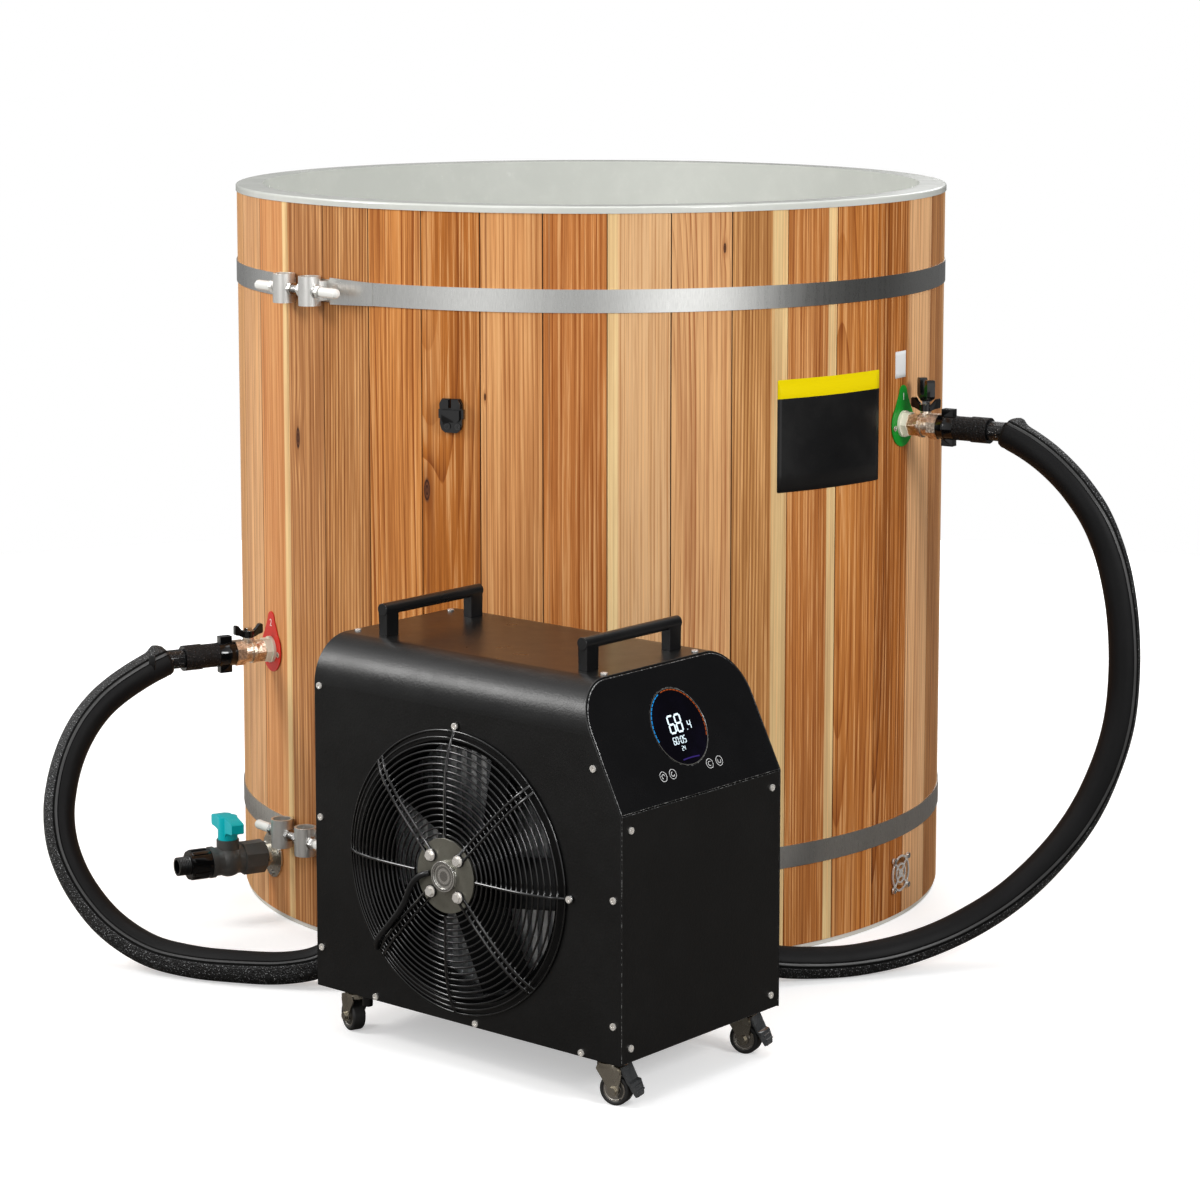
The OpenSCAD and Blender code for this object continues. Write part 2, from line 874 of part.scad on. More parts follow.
// A quick coupler: ribbed collar with two latch tabs, and the sleeve behind it
module hose_coupling() {
  bore = tail_diameter / 2 - 4;
  difference() {
    union() {
      out_pipe(valve_end + seat_gap, collar_end, 16.5);
      out_pipe(valve_end + 9, valve_end + 11, 17.4);
      for (side = [-1, 1])
        translate([valve_end + 5, -6, side * 19.5 - 5.5])
          cube([17, 12, 11]);
    }
    out_pipe(valve_end - 1, collar_end + 1, bore);
  }
  difference() {
    union() {
      out_pipe(collar_end + seat_gap, sleeve_end, 16.2);
      out_pipe(collar_end + 24, sleeve_end, 17.3);
    }
    out_pipe(collar_end - 1, sleeve_end + 1, bore);
  }
}

// Black couplers on the two tub valves, and the collars on the chiller's two ports
module hose_couplings() {
  color("#151515") {
    for (place = [[inlet_angle, inlet_z], [outlet_angle, outlet_z]])
      at_wall(place[0], place[1])
        hose_coupling();
    at_chiller() {
      translate([feed_port_x, side_y + port_nipple, port_z])
        rotate([-90, 0, 0])
          port_collar_ring(port_collar);
      at_elbow_mouth()
        port_collar_ring(port_collar / 2);
    }
  }
}

module port_collar_ring(length) {
  difference() {
    union() {
      translate([0, 0, seat_gap])
        cylinder(h = length - seat_gap, r = 16.5);
      translate([0, 0, length / 3])
        cylinder(h = length / 3, r = 18);
    }
    translate([0, 0, -1])
      cylinder(h = length + 2, r = tail_diameter / 2 - 4);
  }
}

// Bare braided hose between each tub coupler and its jacket
module hose_tails() {
  color("#1a1a1a")
    for (place = [[inlet_angle, inlet_z], [outlet_angle, outlet_z]])
      at_wall(place[0], place[1])
        difference() {
          out_pipe(sleeve_end + seat_gap, tail_end, tail_diameter / 2);
          out_pipe(sleeve_end - 1, tail_end + 1, tail_diameter / 2 - 4);
        }
}

// Jacketed hose from the inlet valve to the port on the chiller's far side
module inlet_hose() {
  start = wall_point(inlet_angle, tail_end + seat_gap, inlet_z);
  next = wall_point(inlet_angle, tail_end + 20, inlet_z);
  mouth = side_y + port_nipple + port_collar + seat_gap;
  color("#1d1d1e")
    swept_tube(
      concat([start, next], inlet_route,
        [chiller_point([feed_port_x, mouth + 28, port_z]),
        chiller_point([feed_port_x, mouth, port_z])]),
      inlet_hose_rings, jacket_diameter / 2);
}

// Jacketed hose from the outlet valve to the elbow on the chiller's rear panel
module outlet_hose() {
  start = wall_point(outlet_angle, tail_end + seat_gap, outlet_z);
  next = wall_point(outlet_angle, tail_end + 20, outlet_z);
  mouth = elbow_point(elbow_leg + port_collar / 2 + seat_gap);
  before = elbow_point(elbow_leg + port_collar / 2 + 22);
  color("#1d1d1e")
    swept_tube(concat([start, next], outlet_route, [before, mouth]),
      outlet_hose_rings, jacket_diameter / 2);
}

// Black clip for a cover strap: a base with two lobes split by a slot, and a block
module strap_clip() {
  color("#151516")
    at_wall(clip_angle, clip_z)
      rotate([90, 0, 90]) {
        translate([0, 0, 0.5])
          linear_extrude(clip_base - 0.4)
            difference() {
              union() {
                polygon([
                  [-8.5, -22.5], [8.5, -22.5], [13.5, -18.5], [15.4, -12],
                  [15.4, 15.5], [12, 21.8], [-12, 21.8], [-15.4, 15.5],
                  [-15.4, -12], [-13.5, -18.5]
                ]);
                translate([-17.4, -4])
                  square([34.8, 12]);
              }
              translate([-1.2, 12])
                square([2.4, 12]);
              translate([0, 11.4])
                circle(1.9);
              for (place = clip_screws)
                translate(place)
                  circle(1.9);
            }
        translate([0, 0, clip_base])
          linear_extrude(clip_block)
            polygon([
              [-10, -8.6], [10, -8.6], [13, -5], [13, 7.4], [-13, 7.4], [-13, -5]
            ]);
        for (side = [0, 1])
          mirror([side, 0, 0])
            translate([0, 0, clip_base])
              linear_extrude(clip_block)
                polygon([[2, 9.4], [14.2, 9.4], [14.6, 15.2], [11.5, 21], [2, 21]]);
      }
}

// Chrome wire guard over the vent: two rings and four arms, with eyes for its screws
module vent_guard() {
  color("#cfcfcf")
    at_wall(vent_angle, vent_z)
      rotate([90, 0, 90])
        translate([0, 0, 1.2])
          linear_extrude(1.7)
            difference() {
              union() {
                for (size = [24, 13])
                  difference() {
                    circle(size + 1.4);
                    circle(size - 1.4);
                  }
                for (turn = [45:90:315])
                  rotate(turn) {
                    translate([5, -1.3])
                      square([21, 2.6]);
                    translate([guard_ring, 0])
                      circle(4.4);
                  }
                circle(6);
              }
              for (turn = [45:90:315])
                rotate(turn)
                  translate([guard_ring, 0])
                    circle(1.9);
            }
}

// The cabinet's cross-section: upright sides and rounded top corners
module cabinet_section(inset) {
  width = cabinet_width - 2 * inset;
  height = cabinet_top - inset - cabinet_bottom;
  corner = cabinet_corner - inset;
  translate([-width / 2, 0])
    square([width, height - corner]);
  translate([-width / 2 + corner, 0])
    square([width - 2 * corner, height]);
  for (side = [-1, 1])
    translate([side * (width / 2 - corner), height - corner])
      circle(corner);
}

// The cross-section run along the cabinet between two places
module cabinet_run(from, to, inset, lift = 0) {
  translate([from, 0, cabinet_bottom + lift])
    rotate([90, 0, 90])
      linear_extrude(to - from)
        cabinet_section(inset);
}

// The space in front of the slope
module slope_cut(back = 0) {
  on_slope()
    translate([-back, -cabinet_width, -60])
      cube([200, cabinet_width * 2, 400]);
}

// Sheet cover: fan side, top and far side in one bent piece
module cabinet_wrap() {
  color("#1c1c1d")
    at_chiller()
      difference() {
        cabinet_run(-front_x, front_x, 0);
        cabinet_run(-front_x - 1, front_x + 1, sheet);
        translate([-front_x - 1, -side_y + sheet, cabinet_bottom - 1])
          cube([cabinet_length + 2, cabinet_width - 2 * sheet, 40]);
        slope_cut();
        at_fan()
          translate([0, 0, -20])
            cylinder(h = 40, r = fan_opening);
        translate([feed_port_x, side_y - 20, port_z])
          rotate([-90, 0, 0])
            cylinder(h = 40, r = 12);
      }
}

// Floor pan with turned-up edges that the cover is screwed to
module base_pan() {
  gap = sheet + turn_gap;
  flange = 16;
  color("#232324")
    at_chiller()
      difference() {
        translate([-front_x + gap, -side_y + gap, cabinet_bottom])
          cube([cabinet_length - 2 * gap, cabinet_width - 2 * gap, flange]);
        translate([-front_x + gap + sheet, -side_y + gap + sheet, pan_floor])
          cube([cabinet_length - 2 * (gap + sheet), cabinet_width - 2 * (gap + sheet),
            flange]);
        translate([feed_port_x, side_y - 20, port_z])
          rotate([-90, 0, 0])
            cylinder(h = 40, r = 12);
        translate([-front_x - 20, return_port_y, port_z])
          rotate([0, 90, 0])
            cylinder(h = 40, r = 12);
      }
}

// Flat front panel below the seam
module front_panel() {
  gap = sheet + panel_gap;
  color("#1a1a1b")
    at_chiller()
      translate([front_x - sheet, -side_y + gap, cabinet_bottom + 1])
        cube([sheet, cabinet_width - 2 * gap, seam_z - cabinet_bottom - 2]);
}

// Rear panel with the holes for the return port and the power inlet
module rear_panel() {
  color("#1a1a1b")
    at_chiller()
      difference() {
        cabinet_run(-front_x, -front_x + sheet, sheet + panel_gap);
        translate([-front_x - 5, return_port_y, port_z])
          rotate([0, 90, 0])
            cylinder(h = 20, r = 12);
        translate([-front_x - 5, -side_y + 58, port_z + 14])
          cube([20, 28, 22]);
        for (row = [0:7])
          translate([-front_x - 5, -70, 330 + row * 12])
            cube([20, 140, 5]);
      }
}

// Glossy sloped control panel with the recess for its display
module control_bezel() {
  color("#0e0e0f")
    at_chiller()
      difference() {
        intersection() {
          cabinet_run(0, front_x + 10, sheet + panel_gap);
          on_slope()
            translate([-4, -cabinet_width, 0.5])
              cube([4.6, cabinet_width * 2, 400]);
        }
        on_slope()
          translate([-0.8, 0, display_rise])
            rotate([0, 90, 0])
              cylinder(h = 5, r = display_diameter / 2);
      }
}

// Round display glass in the control panel
module display_lens() {
  color("#0a0a12")
    at_chiller()
      on_slope()
        translate([-0.7, 0, display_rise])
          rotate([0, 90, 0])
            cylinder(h = 1.5, r = display_diameter / 2 - 0.3);
}

// Two carrying handles across the top: a round bar on two posts each
module carry_handles() {
  post = [13, 21];
  bar_z = cabinet_top + handle_clear + handle_bar / 2;
  color("#151515")
    at_chiller()
      for (x = [front_handle_x, -rear_handle_x])
        translate([x, 0, 0]) {
          translate([0, 0, bar_z])
            rotate([90, 0, 0])
              cylinder(h = handle_length, r = handle_bar / 2, center = true);
          for (side = [-1, 1])
            translate([-post.x / 2, side * (handle_length / 2 - post.y / 2 - 1)
              - post.y / 2, cabinet_top])
              cube([post.x, post.y, handle_clear + handle_bar / 2]);
        }
}

guard_screw_turns = [0, 90];

// Height of the guard's dome over the cabinet side at a distance from its axis
function guard_height(r) = guard_wire / 2 + (guard_rise - guard_wire / 2)
  * (1 - pow(r / guard_radius, 6));

// Domed wire guard: rings under spokes, the paired spokes ending in eyes on the motor's plate
module fan_guard() {
  first = hub_plate_radius + 5;
  last = guard_radius - guard_wire / 2;
  wire = guard_wire / 2;
  color("#0f0f10")
    at_chiller()
      at_fan() {
        for (i = [0:guard_rings - 1])
          let (r = first + (last - first) * i / (guard_rings - 1))
          translate([0, 0, guard_height(r)])
            rotate_extrude()
              translate([r, 0])
                circle(wire, $fn = 24);
        for (turn = [0:90:270])
          rotate([0, 0, turn])
            guard_spoke(first - wire);
        for (turn = [45:90:315])
          rotate([0, 0, turn]) {
            for (shift = [-4.5, 4.5])
              translate([0, shift, 0])
                guard_spoke(motor_bolt_radius + 4);
            translate([motor_bolt_radius, 0, spoke_low])
              difference() {
                cylinder(h = 1.9, r = 8);
                translate([0, 0, -1])
                  cylinder(h = 4, r = 3.2);
              }
          }
        for (turn = guard_screw_turns)
          rotate([0, 0, turn])
            translate([guard_radius + 5, 0, seat_gap])
              difference() {
                union() {
                  cylinder(h = 1.6, r = 5.5);
                  translate([-9, -3, 0])
                    cube([9, 6, 0.9]);
                }
                translate([0, 0, -1])
                  cylinder(h = 4, r = 2);
              }
      }
}

// Height of the spokes' underside over a ring, from the ring's middle
spoke_rise = guard_wire / 2 - 0.4;
spoke_low = guard_height(motor_bolt_radius) + spoke_rise;

// One spoke, a flat wire that follows the dome, welded over the rings
module guard_spoke(from) {
  steps = 8;
  to = guard_radius - guard_wire / 2;
  places = [for (i = [0:steps]) from + (to - from) * i / steps];
  lower = [for (r = places) [r, guard_height(r) + spoke_rise]];
  upper = [for (i = [steps:-1:0]) [places[i], guard_height(places[i]) + spoke_rise + 1.8]];
  rotate([90, 0, 0])
    translate([0, 0, -guard_wire / 2])
      linear_extrude(guard_wire)
        polygon(concat(lower, upper));
}

// Round duct round the rotor, on a flange behind the cover
module fan_shroud() {
  bore = rotor_diameter / 2 + 3;
  color("#2a2a2b")
    at_chiller()
      at_fan()
        difference() {
          union() {
            translate([0, 0, -sheet - seat_gap - 2])
              cylinder(h = 2, r = fan_opening + 8);
            translate([0, 0, -56])
              cylinder(h = 56 - sheet - seat_gap, r = bore + 2);
          }
          translate([0, 0, -60])
            cylinder(h = 70, r = bore);
        }
}

motor_top = spoke_low - seat_gap;

// Motor with its face plate and cap in front, bolted behind the guard's eyes, and its shaft
module fan_motor() {
  color("#8b8a80")
    at_chiller()
      at_fan()
        difference() {
          union() {
            translate([0, 0, motor_top - 3])
              cylinder(h = 3, r = hub_plate_radius);
            translate([0, 0, motor_top - motor_depth])
              cylinder(h = motor_depth - 2, r = motor_radius);
            translate([0, 0, motor_top - 1])
              cylinder(h = 6, r = 18.5);
            translate([0, 0, motor_top - motor_depth - 26])
              cylinder(h = 27, r = motor_shaft);
          }
          translate([0, 0, motor_top + 3])
            cylinder(h = 6, r = 15);
          for (turn = [45:90:315])
            rotate([0, 0, turn])
              translate([motor_bolt_radius, 0, motor_top - 8])
                cylinder(h = 20, r = 2.6);
        }
}

// Fan rotor: a cup on the motor's shaft and pitched blades
module fan_rotor() {
  top = motor_top - motor_depth - 1;
  depth = 26;
  root = motor_radius + 5;
  color("#101011")
    at_chiller()
      at_fan()
        difference() {
          union() {
            translate([0, 0, top - depth])
              cylinder(h = depth, r = root);
            intersection() {
              translate([0, 0, top - depth - 20])
                cylinder(h = depth + 40, r = rotor_diameter / 2);
              for (i = [0:blade_count - 1])
                rotate([0, 0, i * 360 / blade_count])
                  translate([root - 4, -34, top - depth / 2])
                    rotate([-blade_pitch, 0, 8])
                      translate([0, -6, -1.2])
                        cube([rotor_diameter, 62, 2.4]);
            }
          }
          translate([0, 0, top - depth - 1])
            cylinder(h = depth + 2, r = motor_shaft + run_gap);
        }
}

// Finned condenser behind the fan
module condenser() {
  size = 320;
  color("#9aa0a2")
    at_chiller()
      at_fan()
        translate([-size / 2, -size / 2 + 4, -96]) {
          difference() {
            cube([size, size, 38]);
            for (i = [0:18])
              translate([12 + i * 16, 10, 26])
                cube([8, size - 20, 20]);
          }
          for (side = [0, 1])
            translate([side * (size - 12), -fan_z + size / 2 + pan_floor - 4
              + seat_gap, 2])
              cube([12, fan_z - size / 2 - pan_floor + 4, 20]);
        }
}

// Hermetic compressor on its feet
module compressor() {
  color("#19191a")
    at_chiller()
      translate([-compressor_back, works_side, pan_floor]) {
        cylinder(h = 10, r = compressor_radius * 0.72);
        translate([0, 0, 8])
          cylinder(h = compressor_height, r = compressor_radius);
        translate([0, 0, compressor_height])
          sphere(compressor_radius - 1);
      }
}

// Shell of the heat exchanger that chills the water
module evaporator() {
  color("#3f4448")
    at_chiller()
      translate([-evaporator_back, works_side + 10, pan_floor]) {
        cylinder(h = evaporator_height, r = evaporator_radius);
        cylinder(h = 14, r = evaporator_radius + 6);
        translate([0, 0, evaporator_height - 14])
          cylinder(h = 14, r = evaporator_radius + 6);
      }
}

// Circulation pump with its motor
module pump() {
  color("#26323c")
    at_chiller()
      translate([pump_ahead, works_side, pan_floor]) {
        translate([-pump_length / 2, -pump_radius + 10, 0])
          cube([pump_length, 2 * pump_radius - 20, 12]);
        translate([-pump_length / 2, 0, pump_radius + 4])
          rotate([0, 90, 0])
            cylinder(h = pump_length - 26, r = pump_radius - 6);
        translate([pump_length / 2 - 26, 0, pump_radius + 4])
          rotate([0, 90, 0])
            cylinder(h = 26, r = pump_radius);
      }
}

function elbow_point(d) = let (
  bend = [-front_x - elbow_out, return_port_y, port_z]
) chiller_point(bend + rotated([-d, 0, 0], chiller_turn));

// Places its children at the mouth of the return elbow, with Z along the hose
module at_elbow_mouth() {
  translate([-front_x - elbow_out, return_port_y, port_z])
    rotate([0, 0, chiller_turn])
      rotate([0, -90, 0])
        translate([0, 0, elbow_leg])
          children();
}

// Water ports of the chiller: a straight feed port, a return elbow and a condensate spout
module water_ports() {
  color("#202021")
    at_chiller() {
      difference() {
        union() {
          translate([feed_port_x, side_y + seat_gap, port_z])
            rotate([-90, 0, 0])
              cylinder(h = port_nipple - seat_gap, r = 17, $fn = 8);
          translate([feed_port_x, side_y - 24, port_z])
            rotate([-90, 0, 0])
              cylinder(h = 24 + port_nipple, r = 11.5);
        }
        translate([feed_port_x, side_y - 30, port_z])
          rotate([-90, 0, 0])
            cylinder(h = 60, r = water_bore / 2);
      }
      difference() {
        union() {
          translate([-front_x - elbow_out, return_port_y, port_z])
            rotate([0, 90, 0])
              cylinder(h = elbow_out + 24, r = 11.5);
          translate([-front_x - 5 - seat_gap, return_port_y, port_z])
            rotate([0, 90, 0])
              cylinder(h = 5, r = 17, $fn = 8);
          translate([-front_x - elbow_out, return_port_y, port_z - 15])
            cylinder(h = 30, r = 15);
          at_elbow_mouth()
            translate([0, 0, -elbow_leg])
              cylinder(h = elbow_leg, r = 13);
        }
        translate([-front_x - elbow_out, return_port_y, port_z])
          rotate([0, 90, 0])
            cylinder(h = elbow_out + 30, r = water_bore / 2);
        translate([-front_x - elbow_out, return_port_y, port_z - 11])
          cylinder(h = 22, r = 11);
        at_elbow_mouth()
          translate([0, 0, -elbow_leg])
            cylinder(h = elbow_leg + 1, r = water_bore / 2);
      }
      translate([-front_x + 72, -side_y + 14, cabinet_bottom - 15 - seat_gap])
        difference() {
          cylinder(h = 15, r = 6.5);
          translate([0, 0, -1])
            cylinder(h = 17, r = 4.5);
        }
    }
}

// Power inlet socket on the rear panel
module power_inlet() {
  color("#111112")
    at_chiller()
      translate([-front_x, -side_y + 58, port_z + 14]) {
        difference() {
          union() {
            translate([-3 - seat_gap, -10, -3])
              cube([3, 48, 28]);
            translate([-1, 0.5, 0.5])
              cube([26, 27, 21]);
          }
          translate([-5, 3.5, 3.5])
            cube([22, 21, 15]);
        }
        for (y = [9, 14, 19])
          translate([-1, y - 1, y == 14 ? 12 : 7])
            cube([18.5, 2, 4]);
      }
}

// A small pan-head screw, head outward along Z
module panel_screw() {
  difference() {
    union() {
      translate([0, 0, seat_gap])
        cylinder(h = 2, r = 4.1);
      translate([0, 0, -8])
        cylinder(h = 8.5, r = 1.9);
    }
    translate([0, 0, 1.7])
      cube([4.6, 1, 1.6], center = true);
    translate([0, 0, 1.7])
      cube([1, 4.6, 1.6], center = true);
  }
}

// Screws of the cover, the front panel and the fan guard, and the motor's bolts
module cabinet_screws() {
  lower = cabinet_bottom + 5;
  color("#c4c3be")
    at_chiller() {
      for (y = [-side_y, side_y])
        for (place = [
          [front_x - 40, seam_z + 50], [front_x - 10, 252], [front_x - 10, 104],
          [-front_x + 9, 436], [-front_x + 9, 272], [-front_x + 9, 108],
          [front_x - 58, lower], [-front_x + 100, lower]
        ])
          translate([place[0], y, place[1]])
            rotate([y < 0 ? 90 : -90, 0, 0])
              panel_screw();
      translate([front_x - 223, -side_y, lower])
        rotate([90, 0, 0])
          panel_screw();
      for (y = [-side_y + 18, side_y - 18])
        for (z = [cabinet_bottom + 18, seam_z - 19])
          translate([front_x, y, z])
            rotate([0, 90, 0])
              panel_screw();
      for (y = [-84, 84])
        for (x = [-front_x + 11, front_x - slope_run - 8])
          translate([x, y, cabinet_top])
            panel_screw();
      for (y = [-side_y + 20, side_y - 20])
        for (z = [cabinet_bottom + 30, cabinet_top - 80])
          translate([-front_x, y, z])
            rotate([0, -90, 0])
              panel_screw();
      at_fan() {
        for (turn = guard_screw_turns)
          rotate([0, 0, turn])
            translate([guard_radius + 5, 0, 1.7 + seat_gap])
              panel_screw();
        for (turn = [45:90:315])
          rotate([0, 0, turn])
            translate([motor_bolt_radius, 0, spoke_low + 1.9 + seat_gap]) {
              cylinder(h = 1.2, r = 7);
              translate([0, 0, 1.2])
                cylinder(h = 3.6, r = 5.4, $fn = 6);
              translate([0, 0, -8])
                cylinder(h = 9, r = 2.5);
            }
      }
    }
}

caster_places = [
  [front_x - caster_end_inset, -side_y + caster_side_inset],
  [front_x - caster_end_inset, side_y - caster_side_inset],
  [-front_x + caster_end_inset, -side_y + caster_side_inset],
  [-front_x + caster_end_inset, side_y - caster_side_inset]
];
caster_turns = [14, 14, 160, 120];

// Places its children at one caster, with X toward the wheel's trail
module at_caster(i) {
  at_chiller()
    translate([caster_places[i].x, caster_places[i].y, 0])
      rotate([0, 0, caster_turns[i]])
        children();
}

// Four fixed caster plates, each with its cup and kingpin
module caster_plates() {
  color("#b8b8b3")
    for (i = [0:3])
      at_caster(i) {
        translate([0, 0, cabinet_bottom - 2.5 - seat_gap])
          rotate([0, 0, -caster_turns[i]])
            translate([-19, -19, 0])
              cube([38, 38, 2.5]);
        translate([0, 0, swivel_z + 5])
          cylinder(h = cabinet_bottom - 2.5 - swivel_z - 5, r1 = 11, r2 = 14);
        translate([0, 0, swivel_z - 1.5])
          cylinder(h = 8, r = kingpin_radius);
        translate([0, 0, swivel_z - 3.5])
          cylinder(h = 2.1, r = 6.5);
      }
}

// Swivel fork with its axle bolt, and the pedal's rivet where it has one
module caster_fork(pedal) {
  inner = wheel_width / 2 + 0.8;
  thick = 1.8;
  outer = inner + thick;
  pivot = pedal_pivot;
  difference() {
    union() {
      translate([0, 0, swivel_z - 1])
        cylinder(h = 5.6, r = 14);
      for (side = [-1, 1])
        rotate([90, 0, 0])
          translate([0, 0, side > 0 ? inner : -outer])
            linear_extrude(thick)
              union() {
                polygon([
                  [-10, swivel_z + 2], [-12, swivel_z - 3],
                  [caster_trail - 6.8, wheel_radius + 2],
                  [caster_trail + 6.8, wheel_radius + 2],
                  [pivot.x + 5, pivot.y - 3], [pivot.x + 4, pivot.y + 3.6],
                  [12, swivel_z + 2]
                ]);
                translate([caster_trail, wheel_radius])
                  circle(7);
              }
    }
    translate([0, 0, swivel_z - 3])
      cylinder(h = 12, r = kingpin_radius + run_gap);
    translate([caster_trail, 0, wheel_radius])
      rotate([90, 0, 0])
        cylinder(h = 60, r = axle_radius + run_gap, center = true);
    if (pedal)
      translate([pivot.x, 0, pivot.y])
        rotate([90, 0, 0])
          cylinder(h = 60, r = 2 + run_gap, center = true);
    translate([0, 0, swivel_z - 1 - 6])
      cylinder(h = 6, r = 7);
  }
  translate([caster_trail, 0, wheel_radius])
    rotate([90, 0, 0]) {
      cylinder(h = 2 * outer + 1, r = axle_radius, center = true);
      for (side = [-1, 1])
        translate([0, 0, side * (outer + 1.7)])
          cylinder(h = 3.2, r = 5, center = true, $fn = side > 0 ? 6 : 24);
    }
  if (pedal)
    translate([pivot.x, 0, pivot.y])
      rotate([90, 0, 0]) {
        cylinder(h = 2 * outer + 1, r = 2, center = true);
        for (side = [-1, 1])
          translate([0, 0, side * (outer + 0.8)])
            cylinder(h = 1.4, r = 3.4, center = true);
      }
}
pedal_pivot = [caster_trail + 6, wheel_radius + 22.4];

// Front near-side swivel fork
module caster_fork_fl() {
  color("#b0b0ab")
    at_caster(0)
      caster_fork(true);
}

// Front far-side swivel fork
module caster_fork_fr() {
  color("#b0b0ab")
    at_caster(1)
      caster_fork(true);
}

// Rear near-side swivel fork
module caster_fork_rl() {
  color("#b0b0ab")
    at_caster(2)
      caster_fork(false);
}

// Rear far-side swivel fork
module caster_fork_rr() {
  color("#b0b0ab")
    at_caster(3)
      caster_fork(false);
}

// Wheel with a rounded tread and a raised hub
module caster_wheel() {
  edge = 3;
  translate([caster_trail, 0, wheel_radius])
    rotate([90, 0, 0])
      rotate_extrude()
        difference() {
          union() {
            translate([axle_radius + run_gap, -wheel_width / 2 + 1])
              square([wheel_radius - edge - axle_radius - run_gap, wheel_width - 2]);
            translate([axle_radius + run_gap, -wheel_width / 2 + edge])
              square([wheel_radius - axle_radius - run_gap, wheel_width - 2 * edge]);
            for (side = [-1, 1])
              translate([wheel_radius - edge, side * (wheel_width / 2 - edge)])
                circle(edge);
            translate([axle_radius + run_gap, -wheel_width / 2 - 0.4])
              square([3, wheel_width + 0.8]);
          }
          for (side = [-1, 1])
            translate([8, side * wheel_width / 2 - 1.6])
              square([4, 3.2]);
        }
}

// Front near-side wheel
module wheel_fl() {
  color("#141414")
    at_caster(0)
      caster_wheel();
}

// Front far-side wheel
module wheel_fr() {
  color("#141414")
    at_caster(1)
      caster_wheel();
}

// Rear near-side wheel
module wheel_rl() {
  color("#141414")
    at_caster(2)
      caster_wheel();
}

// Rear far-side wheel
module wheel_rr() {
  color("#141414")
    at_caster(3)
      caster_wheel();
}

// Two-step foot pad on an arm between the fork plates; it locks its wheel
module brake_pedal() {
  half = wheel_width / 2 + 0.4;
  pad = 13;
  difference() {
    union() {
      rotate([90, 0, 0])
        translate([0, 0, -half])
          linear_extrude(2 * half)
            union() {
              translate(pedal_pivot)
                circle(3.1);
              polygon([
                pedal_pivot + [0, -2.8], pedal_pivot + [10, -6.4],
                pedal_pivot + [12.2, -8.4], pedal_pivot + [5.6, 4.8],
                pedal_pivot + [0, 2.8]
              ]);
            }
      intersection() {
        rotate([90, 0, 0])
          translate([0, 0, -pad])
            linear_extrude(2 * pad)
              polygon([
                pedal_pivot + [13, -11], pedal_pivot + [15.6, -13],
                pedal_pivot + [23.2, -26.8], pedal_pivot + [25.6, -26.5],
                pedal_pivot + [26.5, -24], pedal_pivot + [19, -10.4],
                pedal_pivot + [15, -9.6], pedal_pivot + [6.6, 7.4],
                pedal_pivot + [4.4, 6.4]
              ]);
        translate([0, 0, 4])
          linear_extrude(60)
            polygon([
              [10, -pad], [35, -pad], [40, -10], [43, -5],
              [43, 5], [40, 10], [35, pad], [10, pad]
            ]);
      }
      for (place = [[21.6, -15.1], [24.4, -20.1]])
        translate([pedal_pivot.x + place.x, 0, pedal_pivot.y + place.y])
          rotate([90, 0, 0])
            cylinder(h = 17, r = 1.4, center = true);
    }
    translate([pedal_pivot.x, 0, pedal_pivot.y])
      rotate([90, 0, 0])
        cylinder(h = 60, r = 2 + run_gap, center = true);
  }
}

// Front near-side brake pedal
module brake_pedal_fl() {
  color("#77787a")
    at_caster(0)
      brake_pedal();
}

// Front far-side brake pedal
module brake_pedal_fr() {
  color("#77787a")
    at_caster(1)
      brake_pedal();
}

staves();
liner();
foam_jacket();
base_disc();
hoops();
hoop_lugs();
tension_rods();
tension_nuts();
rod_caps();
inlet_plate();
outlet_plate();
wall_screws();
bulkhead_fittings();
inlet_valve_body();
outlet_valve_body();
inlet_ball();
outlet_ball();
inlet_handle();
outlet_handle();
drain_flange();
drain_valve_body();
drain_ball();
drain_handle();
drain_union_nut();
hose_couplings();
hose_tails();
inlet_hose();
outlet_hose();
strap_clip();
vent_guard();
cabinet_wrap();
base_pan();
front_panel();
rear_panel();
control_bezel();
display_lens();
carry_handles();
fan_guard();
fan_shroud();
fan_motor();
fan_rotor();
condenser();
compressor();
evaporator();
pump();
water_ports();
power_inlet();
cabinet_screws();
caster_plates();
caster_fork_fl();
caster_fork_fr();
caster_fork_rl();
caster_fork_rr();
wheel_fl();
wheel_fr();
wheel_rl();
wheel_rr();
brake_pedal_fl();
brake_pedal_fr();
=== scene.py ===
import math

import bmesh
import bpy
from mathutils import Matrix, Vector, noise


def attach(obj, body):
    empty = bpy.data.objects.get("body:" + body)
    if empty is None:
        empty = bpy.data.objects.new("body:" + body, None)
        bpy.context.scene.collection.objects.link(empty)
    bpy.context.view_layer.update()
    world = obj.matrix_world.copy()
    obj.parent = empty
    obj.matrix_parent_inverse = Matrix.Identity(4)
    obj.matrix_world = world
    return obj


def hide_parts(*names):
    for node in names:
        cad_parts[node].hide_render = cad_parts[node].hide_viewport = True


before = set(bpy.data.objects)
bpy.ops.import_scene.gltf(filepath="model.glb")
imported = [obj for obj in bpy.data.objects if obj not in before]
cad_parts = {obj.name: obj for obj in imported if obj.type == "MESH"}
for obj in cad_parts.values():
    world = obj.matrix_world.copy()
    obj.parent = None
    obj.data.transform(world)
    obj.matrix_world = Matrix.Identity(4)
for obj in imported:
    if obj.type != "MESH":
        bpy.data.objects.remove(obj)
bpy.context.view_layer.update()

# Studio

# A small pale floor in a white room.  Soft lamps stand beside the tub on the
# left, left and right of the camera, above and behind.  The long lens stands
# above the tub's rim and looks a little down.
scene = bpy.context.scene
scene.view_settings.view_transform = "Standard"
white = (1.0, 1.0, 1.0, 1.0)

